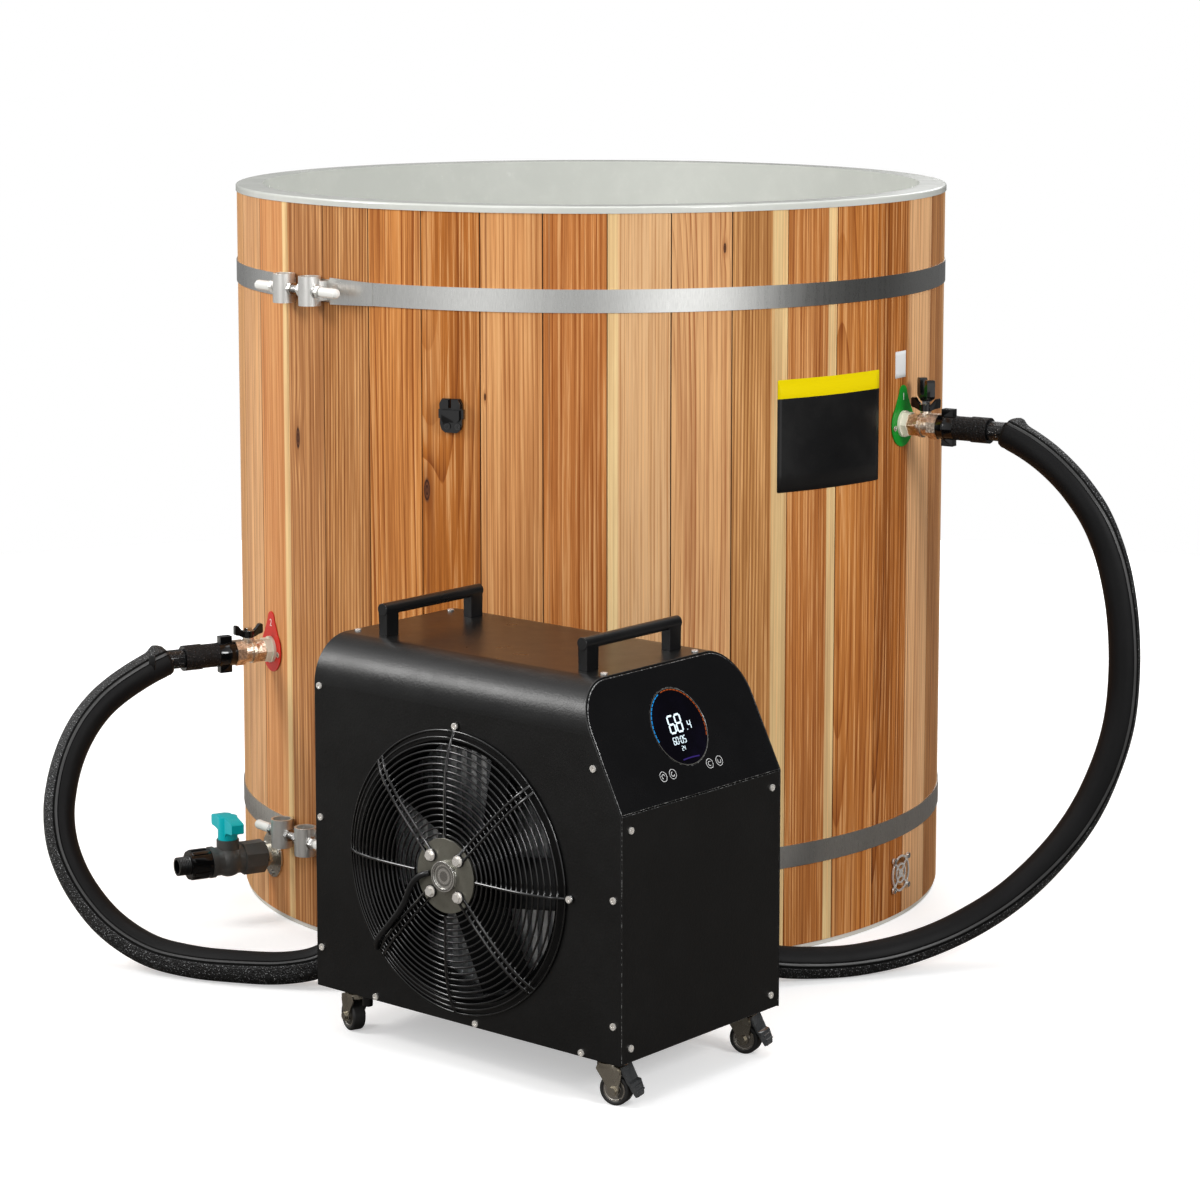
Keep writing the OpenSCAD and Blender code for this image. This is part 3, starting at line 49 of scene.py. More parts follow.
lens = bpy.data.cameras.new("camera")
lens.lens = 101.47
lens.sensor_width = 36.0
lens.shift_x = 0.00747
lens.shift_y = -0.15
camera = bpy.data.objects.new("camera", lens)
camera.location = (0.0, -4.8016, 1.3149)
camera.rotation_euler = (math.radians(82.2), 0.0, 0.0)
scene.collection.objects.link(camera)
scene.camera = camera


def soft_lamp(name, place, target, width, height, power, colour=(1.0, 1.0, 1.0)):
    lamp = bpy.data.lights.new(name, "AREA")
    lamp.shape = "RECTANGLE"
    lamp.size, lamp.size_y = width, height
    lamp.energy, lamp.color = power, colour
    holder = bpy.data.objects.new(name, lamp)
    holder.location = place
    holder.rotation_euler = (Vector(target) - Vector(place)).to_track_quat("-Z", "Y").to_euler()
    holder.visible_camera = False
    scene.collection.objects.link(holder)


soft_lamp("lamp_side", (-3.5, -0.7, 2.8), (-0.1, -0.6, 0.5), 1.2, 1.2, 80.0, (1.0, 0.99, 0.975))
soft_lamp("lamp_left", (-2.3, -4.3, 2.7), (0.0, -0.3, 0.5), 1.3, 1.6, 52.0)
soft_lamp("lamp_right", (3.0, -3.8, 2.8), (0.0, -0.3, 0.5), 1.2, 1.4, 120.0)
soft_lamp("lamp_top", (0.3, 0.4, 4.4), (0.0, 0.0, 0.0), 3.0, 3.0, 70.0)
soft_lamp("lamp_back", (1.6, 3.6, 2.6), (0.0, 0.0, 0.6), 2.0, 2.0, 30.0)


def feed(node, feeds):
    # each input gets a socket linked to it, or a value set on it
    for name, value in feeds.items():
        if isinstance(value, bpy.types.NodeSocket):
            node.id_data.links.new(value, node.inputs[name])
        else:
            node.inputs[name].default_value = value


def step(tree, kind, feeds=None, **settings):
    node = tree.nodes.new("ShaderNode" + kind)
    for name, value in settings.items():
        setattr(node, name, value)
    feed(node, feeds or {})
    return node.outputs


def calc(operation, *values):
    tree = next(v.id_data for v in values if isinstance(v, bpy.types.NodeSocket))
    return step(tree, "Math", dict(enumerate(values)), operation=operation)[0]


def plus(first, second):
    return calc("ADD", first, second)


def less(first, second):
    return calc("SUBTRACT", first, second)


def times(first, second):
    return calc("MULTIPLY", first, second)


def over(first, second):
    return calc("DIVIDE", first, second)


def scaled(value, factor, start):
    return calc("MULTIPLY_ADD", value, factor, start)


def ramp(value, low, high, start=0.0, end=1.0):
    return step(value.id_data, "MapRange", {0: value, 1: low, 2: high, 3: start, 4: end},
                interpolation_type="SMOOTHSTEP")[0]


def mixed(factor, first, second):
    return step(factor.id_data, "Mix", {0: factor, 6: first, 7: second}, data_type="RGBA")[2]


def place_in(tree):
    return step(tree, "TexCoord")["Object"]


def new_paint(name):
    made = bpy.data.materials.new(name)
    made.use_nodes = True
    return made, made.node_tree.nodes["Principled BSDF"]


def built(bm, name, finishes, place=None):
    # the finished bmesh as an object that holds these finishes in order
    mesh = bpy.data.meshes.new(name)
    bm.to_mesh(mesh)
    bm.free()
    if place:
        mesh.transform(place)
    for one in finishes:
        mesh.materials.append(one)
    return bpy.data.objects.new(name, mesh)


# white to the camera; metal and glass see two soft screens in front, left and
# right, one high on the far left, a grey room on the left, and a dark one from
# the right round to the back; bearings are in degrees from the camera's side
room = bpy.data.worlds.new("room")
room.use_nodes = True
scene.world = room
ray = step(room.node_tree, "LightPath")
way = step(room.node_tree, "SeparateXYZ", {0: step(room.node_tree, "TexCoord")["Generated"]})
bearing = times(calc("ARCTAN2", way[0], times(way[1], -1.0)), 180 / math.pi)


def screen(middle, half, soft):
    far = calc("ABSOLUTE", less(bearing, middle))
    return ramp(far, half + soft, max(half - soft, 0.0))


walls = calc("MINIMUM", ramp(bearing, 38.0, 78.0, 0.50, 0.055), ramp(bearing, -155.0, -118.0, 0.20, 0.55))
walls = calc("MAXIMUM", walls, ramp(bearing, 105.0, 125.0, 0.0, 0.13))
walls = scaled(screen(-36.0, 16.0, 16.0), 0.48, walls)
walls = scaled(screen(29.0, 17.0, 12.0), 0.88, walls)
shine = scaled(less(0.7, walls), ramp(way[2], 0.45, 0.95), walls)
high_band = times(ramp(way[2], 0.36, 0.56), ramp(way[2], 0.86, 0.66))
shine = scaled(times(screen(-104.0, 26.0, 18.0), high_band), 2.6, shine)
diffuse = ramp(way[0], -0.9, 0.9, 0.43, 0.45)
mirror = calc("MAXIMUM", ray["Is Glossy Ray"], ray["Is Transmission Ray"])
seen = scaled(mirror, less(shine, diffuse), diffuse)
feed(room.node_tree.nodes["Background"],
     {"Color": white, "Strength": calc("MAXIMUM", ray["Is Camera Ray"], seen)})

# the floor is white to the camera and to its rim; it keeps the object's
# shadow, and is paler to metal and glass at the back on the left
disc = bmesh.new()
bmesh.ops.create_circle(disc, cap_ends=True, segments=96, radius=2.9)
floor_paint, shader = new_paint("floor_paint")
floor = built(disc, "floor", [floor_paint])
scene.collection.objects.link(floor)
ray = step(shader.id_data, "LightPath")
spot = place_in(shader.id_data)
rim = ramp(step(shader.id_data, "VectorMath", {0: spot}, operation="LENGTH")["Value"], 1.0, 2.7)
ground = step(shader.id_data, "SeparateXYZ", {0: spot})
far_out = times(ramp(ground[0], -0.7, -1.1), ramp(ground[1], -0.5, -0.1))
glossy_floor = mixed(far_out, (0.13, 0.12, 0.11, 1.0), (0.50, 0.49, 0.46, 1.0))
bounce = mixed(ray["Is Glossy Ray"], (0.46, 0.45, 0.42, 1.0), glossy_floor)
feed(shader, {"Base Color": mixed(ray["Is Camera Ray"], bounce, (0.80, 0.80, 0.80, 1.0)),
              "Roughness": 0.8, "Specular IOR Level": 0.1, "Emission Color": white,
              "Emission Strength": times(ray["Is Camera Ray"], scaled(rim, 0.55, 0.42))})

# Insulated hoses

# Two 26 mm braided hoses run in 41 mm neoprene jackets, closed along the
# outside of the bend by a woven hook strip with a piped edge.  Each tube
# is a circle drawn along its route, ring by ring, and its section shaped.
tub_radius = 0.5
inlet_bearing, inlet_height = 57.2, 0.69
outlet_bearing, outlet_height = -61.0, 0.374
tail_end = 0.1551
# the chiller's own X runs out of its front, and its Y to the right as seen from there
chiller = Matrix.Translation((-0.055, -0.8, 0.0)) @ Matrix.Rotation(math.radians(-40.3), 4, "Z")
port_height = 0.078


def srgb(red, green, blue):
    return tuple((c / 255 / 12.92) if c < 10.3 else ((c / 255 + 0.055) / 1.055) ** 2.4
                 for c in (red, green, blue)) + (1.0,)


def at_wall(angle, out, z):
    # a spot by its bearing from the front, its way out from the wall, and its height
    turn = math.radians(angle)
    return Vector((math.sin(turn), -math.cos(turn), 0.0)) * (tub_radius + out) + Vector((0.0, 0.0, z))


def mm(*points):
    return [Vector(p) / 1000 for p in points]


def follow(points, steps=7):
    # a smooth curve through given points
    ends = [points[0] * 2 - points[1]] + points + [points[-1] * 2 - points[-2]]
    line = []
    for a, b, c, d in zip(ends, ends[1:], ends[2:], ends[3:]):
        for i in range(steps):
            t = i / steps
            line.append(0.5 * (2 * b + (c - a) * t + (2 * a - 5 * b + 4 * c - d) * t * t
                               + (3 * b - a - 3 * c + d) * t ** 3))
    line.append(points[-1])
    return line


def run_length(line):
    return sum((b - a).length for a, b in zip(line, line[1:]))


def mottle(place, scale, detail=2.0, rough=0.5):
    return step(place.id_data, "TexNoise", {"Vector": place, "Scale": scale, "Detail": detail,
                                            "Roughness": rough})["Fac"]


def effect(name, inputs):
    # a shared effect that gives a colour, a roughness and a height
    tree = bpy.data.node_groups.new(name, "ShaderNodeTree")
    for label, value in inputs.items():
        kind = "Color" if isinstance(value, tuple) else "Float"
        tree.interface.new_socket(name=label, in_out="INPUT",
                                  socket_type="NodeSocket" + kind).default_value = value
    for label, kind in (("Colour", "Color"), ("Roughness", "Float"), ("Height", "Float")):
        tree.interface.new_socket(name=label, in_out="OUTPUT", socket_type="NodeSocket" + kind)
    return tree, tree.nodes.new("NodeGroupInput").outputs, tree.nodes.new("NodeGroupOutput")


shader_names = {"metallic": "Metallic", "specular": "Specular IOR Level", "coat": "Coat Weight",
                "coat_roughness": "Coat Roughness", "sheen": "Sheen Weight",
                "sheen_roughness": "Sheen Roughness"}


def cover(shader, colour, roughness, height, depth, **shines):
    bump = step(shader.id_data, "Bump", {"Height": height, "Distance": depth})[0]
    feed(shader, {"Base Color": colour, "Roughness": roughness, "Normal": bump})
    feed(shader, {shader_names[name]: value for name, value in shines.items()})


def paint(name, shared, values, depth, **shines):
    # a finish made by a shared effect with these values
    made, shader = new_paint(name)
    own = shader.id_data.nodes.new("ShaderNodeGroup")
    own.node_tree = shared
    feed(own, values)
    cover(shader, own.outputs["Colour"], own.outputs["Roughness"], own.outputs["Height"], depth, **shines)
    return made


# skin: the fine grain and uneven sheen that moulded, painted and cast
# surfaces have, in the piece's own colours
skin, given, gives = effect("surface_skin", {
    "Colour": (0.5, 0.5, 0.5, 1.0), "Dust": (0.6, 0.6, 0.6, 1.0), "Dust amount": 0.1,
    "Grain size": 0.001, "Roughness": 0.5, "Unevenness": 0.08})
place = place_in(skin)
fine = mottle(place, over(0.5, given["Grain size"]), 2.0, 0.6)
patch = mottle(place, 11.0, 5.0, 0.62)
smear = mottle(place, 46.0, 3.0)
cloud = times(ramp(patch, 0.42, 0.72), given["Dust amount"])
speck = times(ramp(fine, 0.55, 0.85), times(given["Dust amount"], 0.7))
swing = less(plus(times(smear, 0.6), times(patch, 0.9)), 0.75)
feed(gives, {"Colour": mixed(calc("MINIMUM", plus(cloud, speck), 1.0), given["Colour"], given["Dust"]),
             "Roughness": scaled(swing, given["Unevenness"], given["Roughness"]), "Height": fine})


def finish(name, colour, dust=None, dust_amount=0.12, grain=0.0012, depth=0.00005,
           roughness=0.5, unevenness=0.25, coat_roughness=0.1, **shines):
    # the dust is a paler or duller second colour that lies over the first in clouds and specks
    pale = tuple(min(1.0, c * 1.5 + 0.03) for c in colour[:3]) + (1.0,)
    values = {"Colour": colour, "Dust": dust or pale, "Dust amount": dust_amount,
              "Grain size": grain, "Roughness": roughness, "Unevenness": unevenness}
    return paint(name, skin, values, depth, coat_roughness=coat_roughness, **shines)


# the jacket's two cloths: smooth neoprene, and the rough hook strip
neoprene = finish("jacket_neoprene", srgb(11, 11, 12), srgb(26, 26, 27), 0.25, 0.0011, 0.00016,
                  0.55, 0.2, specular=0.14, sheen=0.02, sheen_roughness=0.5)
strip_cloth, shader = new_paint("jacket_strip")
place = place_in(shader.id_data)
tuft = step(shader.id_data, "TexVoronoi", {"Vector": place, "Scale": 430.0})["Distance"]
loop = mottle(place, 480.0)
lit = times(ramp(tuft, 0.36, 0.20), ramp(loop, 0.50, 0.58))
cover(shader, mixed(lit, srgb(5, 5, 6), srgb(162, 164, 166)), ramp(loop, 0.3, 0.7, 0.35, 0.8),
      less(loop, tuft), 0.0012)
# the piping is a black cord painted paler to stand in for its highlight; the groove beside it and the
# jacket's open ends are painted darker as shade
highlit_piping = finish("jacket_piping", srgb(34, 34, 34), srgb(66, 66, 66), 0.4, 0.0008, 0.0001, 0.45)
shaded_gutter = finish("jacket_gutter", srgb(5, 5, 5), srgb(12, 12, 12), 0.2, 0.0008, 0.0001, 0.8, specular=0.1)

# how far round from the strip's middle, in degrees, each part of the section reaches
strip_reach, groove_reach, piping_reach, gutter_reach = 44, 50, 58, 63


def show(piece, body="tub", stands_for=()):
    scene.collection.objects.link(piece)
    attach(piece, body)
    if stands_for:
        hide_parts(*stands_for)
    return piece


def jacket_radius(turn, along, length):
    # turn is 0 on the strip's middle; the ends are cut square and hemmed
    wide = math.degrees(abs(turn))
    radius = 0.0204
    if wide < strip_reach:
        radius = 0.0213 + 0.0003 * math.cos(turn * 9)
    elif wide < groove_reach:
        radius = 0.0206
    elif wide < piping_reach:
        radius = 0.0215
    elif wide < gutter_reach:
        radius = 0.0197
    end = min(along, length - along)
    radius *= 0.93 + 0.07 * min(1.0, end / 0.0022) ** 0.5
    radius -= 0.0007 * math.exp(-((end - 0.0085) / 0.0011) ** 2)
    lump = math.exp(-((along - 0.011) / 0.0075) ** 2)
    return radius + lump * 0.0055 * max(0.0, math.cos(turn * 1.7)) ** 2 * (wide < 52)


def jacketed_hose(node, route, middle, lean, high_share):
    name = node + "_jacket"
    length = run_length(route)
    bm = bmesh.new()
    turned = bm.verts.layers.float.new("turned")
    run = bm.verts.layers.float.new("run")
    ring = bmesh.ops.create_circle(bm, segments=84, radius=1.0)["verts"]
    for vert in ring:
        vert[turned] = math.atan2(vert.co.y, vert.co.x)
    edges = bm.edges[:]
    along = 0.0
    for i, point in enumerate(route):
        if i:
            along += (point - route[i - 1]).length
            made = bmesh.ops.extrude_edge_only(bm, edges=edges)["geom"]
            ring = [g for g in made if isinstance(g, bmesh.types.BMVert)]
            edges = [g for g in made if isinstance(g, bmesh.types.BMEdge)]
        heading = (route[min(i + 1, len(route) - 1)] - route[max(i - 1, 0)]).normalized()
        outward = point - middle
        outward = (outward - heading * outward.dot(heading)).normalized()
        # the strip leans towards the front, most of all low on the floor
        low = 1.0 - min(1.0, max(0.0, (point.z - 0.03) / 0.22))
        leant = math.radians(lean) * (high_share + (1.0 - high_share) * low)
        outward = Matrix.Rotation(leant, 3, heading) @ outward
        across = heading.cross(outward)
        for vert in ring:
            turn = vert[turned]
            radius = jacket_radius(turn, along, length)
            radius += 0.0005 * noise.noise(Vector((math.cos(turn) * 1.5, math.sin(turn) * 1.5, along * 16)))
            vert.co = point + (outward * math.cos(turn) + across * math.sin(turn)) * radius
            vert[run] = along
    bmesh.ops.holes_fill(bm, edges=bm.edges, sides=0)
    bmesh.ops.recalc_face_normals(bm, faces=bm.faces)
    for face in bm.faces:
        face.smooth = True
        mean = sum(abs(math.degrees(v[turned])) for v in face.verts) / len(face.verts)
        if len(face.verts) > 4:
            face.material_index = 3
        elif mean < strip_reach:
            face.material_index = 1
        elif groove_reach < mean < piping_reach:
            face.material_index = 2
        elif mean < gutter_reach:
            face.material_index = 3
    hose = built(bm, name, [neoprene, strip_cloth, highlit_piping, shaded_gutter])
    show(hose, "tub", [node])


inlet_route = follow(
    [at_wall(inlet_bearing, tail_end, inlet_height)]
    + mm((575.7, -371, 677), (599.3, -386, 660.7), (620.8, -399.7, 641), (640.3, -412.1, 618.3),
         (659.5, -424.4, 589), (675, -433, 553), (687.5, -440, 508), (696, -447, 450),
         (698, -453, 385), (691, -458, 315), (671, -462, 250), (640, -466, 188), (597, -471, 134),
         (545, -478, 88), (485, -489, 53), (420, -506, 31), (355, -527, 22), (298, -543, 21.5),
         (235, -560, 29), (178, -580, 50), (136, -612, 71))
    + [chiller @ Vector((0.024, out, port_height)) for out in (0.2161, 0.1881)])
outlet_route = follow(
    [at_wall(outlet_bearing, tail_end, outlet_height)]
    + mm((-594, -331, 365.5), (-615, -345, 354.5), (-636, -358.5, 341), (-656, -372, 324),
         (-675, -388.5, 300), (-690, -406, 269), (-700, -423, 231), (-703, -438, 188),
         (-694, -452, 142), (-669, -468, 96), (-628, -490, 55), (-574, -515, 29), (-512, -541, 21.5),
         (-450, -561, 21.5), (-400, -572, 23), (-356, -577, 31), (-322, -577, 49), (-288, -577, 69))
    + [chiller @ Vector((-0.264, 0.065, port_height)) - Vector((out, 0.0, 0.0)) for out in (0.060, 0.0381)])
jacketed_hose("inlet_hose", inlet_route, Vector((0.56, -0.46, 0.37)), 38, 0.0)
jacketed_hose("outlet_hose", outlet_route, Vector((-0.56, -0.43, 0.19)), -36, 0.7)

tab = bmesh.new()
bmesh.ops.create_cube(tab, size=1.0)
bmesh.ops.scale(tab, vec=(0.0085, 0.0030, 0.0200), verts=tab.verts)
bmesh.ops.bevel(tab, geom=tab.edges[:], offset=0.0011, segments=3, affect="EDGES", profile=0.5, material=-1)
bmesh.ops.translate(tab, vec=(-0.5885, -0.3480, 0.3765), verts=tab.verts)
for face in tab.faces:
    face.smooth = True
pull_tab = finish("pull_tab", srgb(7, 7, 8), srgb(20, 20, 21), 0.2, 0.001, 0.00005, 0.25, 0.2,
                  specular=0.3, coat=0.3)
show(built(tab, "jacket_pull_tab", [pull_tab]))

# Cedar wall

# Thirty-eight upright cedar staves, cut from different boards and oiled, so
# each has its own tone, ring lines and, on some, a pale sapwood edge.
# The CAD staves are merged and keep their rounded joints.
stave_width = 0.0827
# degrees from one joint to the next, and from the front to the first
stave_turn = 360 / 38
first_joint = 2.368
cedar, given, gives = effect("cedar_board", {
    "Heart": srgb(190, 125, 70), "Ring": srgb(140, 80, 38), "Sap side": 0.0, "Sap width": 0.12,
    "Figure": 0.2, "Ring spacing": 0.003, "Ring depth": 0.6, "Seed": 0.0,
    "Knot across": 0.0, "Knot height": -9.0, "Knot size": 0.008})
where = step(cedar, "SeparateXYZ", {0: place_in(cedar)})
angle = calc("ARCTAN2", where[0], times(where[1], -1.0))
stave = over(less(angle, math.radians(first_joint)), math.radians(stave_turn))
number = calc("FLOOR", stave)
share = less(less(stave, number), 0.5)
across = times(share, stave_width)
seed = plus(times(number, 3.71), given["Seed"])


def luck_of(feeds, size="1D"):
    return step(cedar, "TexWhiteNoise", feeds, noise_dimensions=size)["Value"]


def drawn(side, up, scale, detail=2.0, rough=0.5):
    # noise drawn out along the board, and different on each
    spot = step(cedar, "CombineXYZ", {0: times(across, side), 1: seed, 2: times(where[2], up)})[0]
    return mottle(spot, scale, detail, rough)


def far_of(first, second):
    return calc("SQRT", plus(times(first, first), times(second, second)))


# the knot, and the growth rings that bow and swerve round it
knot_x = over(less(across, given["Knot across"]), given["Knot size"])
knot_z = over(less(where[2], given["Knot height"]), times(given["Knot size"], 3.4))
knot_far = far_of(knot_x, knot_z)
swerve = times(ramp(knot_far, 5.0, 0.6), given["Knot size"])
bow = times(less(drawn(9.0, 0.9, 1.0), 0.5), 0.016)
centre = scaled(given["Figure"], -0.062, scaled(luck_of({"W": seed}), 0.02, 0.062))
deep = times(less(drawn(2.0, 0.75, 1.0, 1.0), 0.30), times(given["Figure"], 0.30))
ring_far = far_of(plus(across, centre), deep)
rings = over(plus(plus(ring_far, bow), swerve), given["Ring spacing"])
season = calc("FRACT", rings)
late = times(calc("POWER", season, 2.8), ramp(season, 1.0, 0.95))
year = step(cedar, "CombineXYZ", {0: calc("FLOOR", rings), 1: seed})[0]
late = times(late, scaled(luck_of({"Vector": year}, "3D"), 0.9, 0.35))

# fibres, streaks and pores, which darken the late wood or lighten the early
fibre = drawn(1.0, 0.014, 620.0, 3.0, 0.65)
streak = drawn(1.0, 0.010, 230.0, 3.0, 0.6)
pore = ramp(drawn(1.0, 0.03, 1500.0, 1.0), 0.64, 0.76)
grain = plus(times(less(fibre, 0.5), 1.5), scaled(ramp(streak, 0.40, 0.60), 0.62, -0.31))
dark = plus(plus(times(late, given["Ring depth"]), grain), times(pore, 0.16))

# sapwood along one edge, then the tones in turn
wander = times(less(drawn(0.0, 1.3, 1.0), 0.5), 0.03)
sap_from = less(0.5, given["Sap width"])
sap = ramp(less(less(times(share, given["Sap side"]), sap_from), wander), -0.012, 0.016)
sap_line = ramp(drawn(1.0, 0.006, 300.0, 1.0), 0.56, 0.70, 0.95, 0.45)
wood = mixed(times(sap, sap_line), given["Heart"], srgb(248, 218, 160))
wood = mixed(ramp(drawn(1.0, 0.07, 22.0, 3.0, 0.6), 0.40, 0.70, 0.0, 0.42), wood, given["Ring"])
wood = mixed(ramp(drawn(1.0, 0.04, 46.0, 2.0), 0.52, 0.78, 0.0, 0.38), wood, srgb(236, 180, 120))
wood = mixed(ramp(dark, 0.0, -0.45, 0.0, 0.55), wood, srgb(238, 184, 126))
lines = step(cedar, "Clamp", {0: dark, 1: 0.0, 2: 0.95})[0]
wood = mixed(times(lines, scaled(sap, -0.72, 1.0)), wood, given["Ring"])

# painted shade: a dark line along the bead that runs beside each joint
bead_shade = ramp(calc("ABSOLUTE", plus(across, 0.0330)), 0.0017, 0.0004)
bead_shade = times(bead_shade, ramp(drawn(0.0, 0.5, 2.0), 0.35, 0.6, 0.15, 0.62))
wood = mixed(times(bead_shade, scaled(sap, -0.8, 1.0)), wood, srgb(118, 56, 20))

# the knot's ringed core and its halo, and the dark of the joint, which is dirt with painted shade
core = ramp(knot_far, 1.1, 0.75)
eye = mixed(ramp(calc("FRACT", times(knot_far, 2.6)), 0.2, 0.9), srgb(104, 60, 36), srgb(52, 30, 20))
wood = mixed(core, wood, eye)
halo = times(ramp(knot_far, 2.6, 1.0), 0.45)
wood = mixed(times(halo, less(1.0, core)), wood, given["Ring"])
joint_dirt_and_shade = ramp(calc("ABSOLUTE", share), 0.484, 0.4965)
joint_dirt_and_shade = times(joint_dirt_and_shade, scaled(luck_of({"W": plus(calc("ROUND", stave), 0.37)}), 0.7, 0.3))
wood = mixed(times(joint_dirt_and_shade, scaled(sap, -0.7, 1.0)), wood, srgb(52, 22, 8))
feed(gives, {"Colour": wood, "Roughness": scaled(less(fibre, 0.5), 0.3, 0.47),
             "Height": less(times(fibre, 0.6), times(late, 0.5))})


def board(name, heart, ring, spacing, depth, **cut):
    values = {"Heart": srgb(*heart), "Ring": srgb(*ring), "Ring spacing": spacing, "Ring depth": depth}
    values.update({label.replace("_", " "): value for label, value in cut.items()})
    return paint("cedar_" + name, cedar, values, 0.0005, specular=0.16)


boards = [
    board("straw", (218, 168, 116), (178, 118, 66), 0.0052, 0.75),
    board("peach", (222, 158, 102), (182, 108, 56), 0.0038, 0.75, Sap_side=1.0, Sap_width=0.14),
    board("fawn_knotted", (190, 132, 82), (136, 80, 38), 0.0066, 0.75, Sap_side=-1.0, Sap_width=0.03,
          Figure=0.4, Knot_across=-0.0177, Knot_height=0.676, Knot_size=0.005),
    board("tan", (190, 130, 76), (128, 72, 30), 0.0054, 1.25),
    board("orange", (214, 142, 76), (138, 70, 22), 0.0078, 1.25),
    board("honey_knotted", (186, 112, 46), (128, 64, 18), 0.0092, 0.8, Figure=0.75,
          Knot_across=-0.0344, Knot_height=0.6277, Knot_size=0.0052),
    board("honey", (220, 156, 98), (162, 98, 48), 0.0056, 1.15,
          Knot_across=-0.0349, Knot_height=0.7534, Knot_size=0.0016),
    board("amber", (210, 136, 74), (146, 76, 26), 0.0055, 1.2),
    board("pale_sapped", (228, 184, 136), (190, 134, 84), 0.0044, 1.1, Sap_side=-1.0, Sap_width=0.17),
    board("pale_figured", (220, 168, 116), (164, 100, 54), 0.0058, 1.1, Figure=0.35,
          Knot_across=0.0307, Knot_height=0.9446, Knot_size=0.0022),
    board("fawn_sapped", (198, 142, 84), (140, 84, 38), 0.0046, 1.2, Sap_side=1.0, Sap_width=0.29),
    board("russet_sapped", (191, 122, 62), (133, 68, 26), 0.0042, 0.9, Sap_side=1.0, Sap_width=0.2),
    board("russet", (205, 132, 64), (136, 68, 20), 0.0085, 0.8, Figure=0.6),
    board("umber", (184, 110, 44), (108, 50, 10), 0.0062, 1.1, Figure=0.35),
    board("rose", (234, 184, 134), (168, 108, 62), 0.0050, 1.0),
]
# the boards of the staves that face the camera, from the stave numbered -10
front_boards = ("rose straw rose peach fawn_knotted tan orange honey_knotted honey amber pale_sapped "
                "pale_figured fawn_sapped russet_sapped russet umber rose tan straw amber").split()
first_front = -10
board_names = [made.name.removeprefix("cedar_") for made in boards]


def merged(name):
    bm = bmesh.new()
    bm.from_mesh(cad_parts[name].data)
    for layer in list(bm.loops.layers.uv):
        bm.loops.layers.uv.remove(layer)
    bmesh.ops.remove_doubles(bm, verts=bm.verts, dist=3e-6)
    bmesh.ops.dissolve_degenerate(bm, edges=bm.edges, dist=2e-6)
    bmesh.ops.dissolve_limit(bm, angle_limit=math.radians(0.3), verts=bm.verts, edges=bm.edges)
    return bm


def dressed(node, finishes, body="tub", edge=0.0004, segments=2, smooth=35, choose=None, rim=None):
    # the CAD node's solids, merged, with softened edges and these finishes
    bm = merged(node)
    for face in bm.faces:
        face.smooth = True
        face.material_index = choose(face) if choose else 0
    piece = built(bm, node + "_finished", finishes if isinstance(finishes, list) else [finishes])
    piece.data.set_sharp_from_angle(angle=math.radians(smooth))
    if edge:
        bevel = piece.modifiers.new("softened edges", "BEVEL")
        bevel.width, bevel.segments = edge, segments
        bevel.limit_method, bevel.angle_limit = "ANGLE", math.radians(30)
        bevel.harden_normals = True
        if rim is not None:
            bevel.material = rim
    return show(piece, body, [node])


def which_board(face):
    middle = face.calc_center_median()
    number = math.floor((math.degrees(math.atan2(middle.x, -middle.y)) - first_joint) / stave_turn)
    if 0 <= number - first_front < len(front_boards):
        return board_names.index(front_boards[number - first_front])
    return (number * 5 + number // 3) % len(boards)


dressed("staves", boards, edge=0.0005, smooth=20, choose=which_board)

# Liner, foam and base

# The water sits in one rotationally moulded grey-green plastic vessel whose
# rim laps over the staves.  Rigid foam fills the gap behind it, and a pale
# plastic disc closes the bottom.
liner_skin = finish("liner_plastic", srgb(203, 205, 199), srgb(219, 220, 214), 0.35, 0.006, 0.00006,
                    0.24, 0.16, coat=0.35, coat_roughness=0.12)
base_plastic = finish("base_plastic", srgb(226, 222, 214), srgb(196, 190, 178), 0.3, 0.0015, 0.00008, 0.6)
rigid_foam = finish("rigid_foam", srgb(232, 224, 188), srgb(206, 190, 140), 0.5, 0.002, 0.0004, 0.85)
dressed("liner", liner_skin, edge=0.0012, segments=3)
dressed("base_disc", base_plastic, edge=0.0008)


def recoat(node, made):
    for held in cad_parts[node].material_slots:
        held.material = made


recoat("foam_jacket", rigid_foam)

# Hoops

# Two 30 mm stainless bands drawn tight round the staves, with a second strap
# lapped over beside each tensioner.  Linished across the band, and left bare.
linished, given, gives = effect("linished_steel", {
    "Colour": (0.6, 0.6, 0.58, 1.0), "Roughness": 0.3, "Scratch": 0.5})
place = place_in(linished)
where = step(linished, "SeparateXYZ", {0: place})
angle = calc("ARCTAN2", where[0], times(where[1], -1.0))
line = step(linished, "CombineXYZ", {0: times(angle, 0.5), 1: 0.0, 2: times(where[2], 0.05)})[0]
scratch = mottle(line, 1500.0, 2.0, 0.7)
wide = mottle(line, 120.0, 3.0)
smudge = mottle(place, 14.0, 4.0)
grey = mixed(ramp(scratch, 0.35, 0.7, 0.0, 0.35), given["Colour"], (0.36, 0.36, 0.35, 1.0))
grey = mixed(ramp(smudge, 0.5, 0.8, 0.0, 0.25), grey, (0.46, 0.45, 0.42, 1.0))
rough = scaled(less(scratch, 0.5), times(given["Scratch"], 0.35), given["Roughness"])
feed(gives, {"Colour": grey, "Roughness": scaled(less(wide, 0.5), 0.12, rough), "Height": scratch})
hoop_steel = paint("hoop_steel", linished, {"Colour": (0.68, 0.68, 0.66, 1.0), "Roughness": 0.30},
                   0.00003, metallic=1.0)
dressed("hoops", hoop_steel, edge=0.0003)

# Tensioners

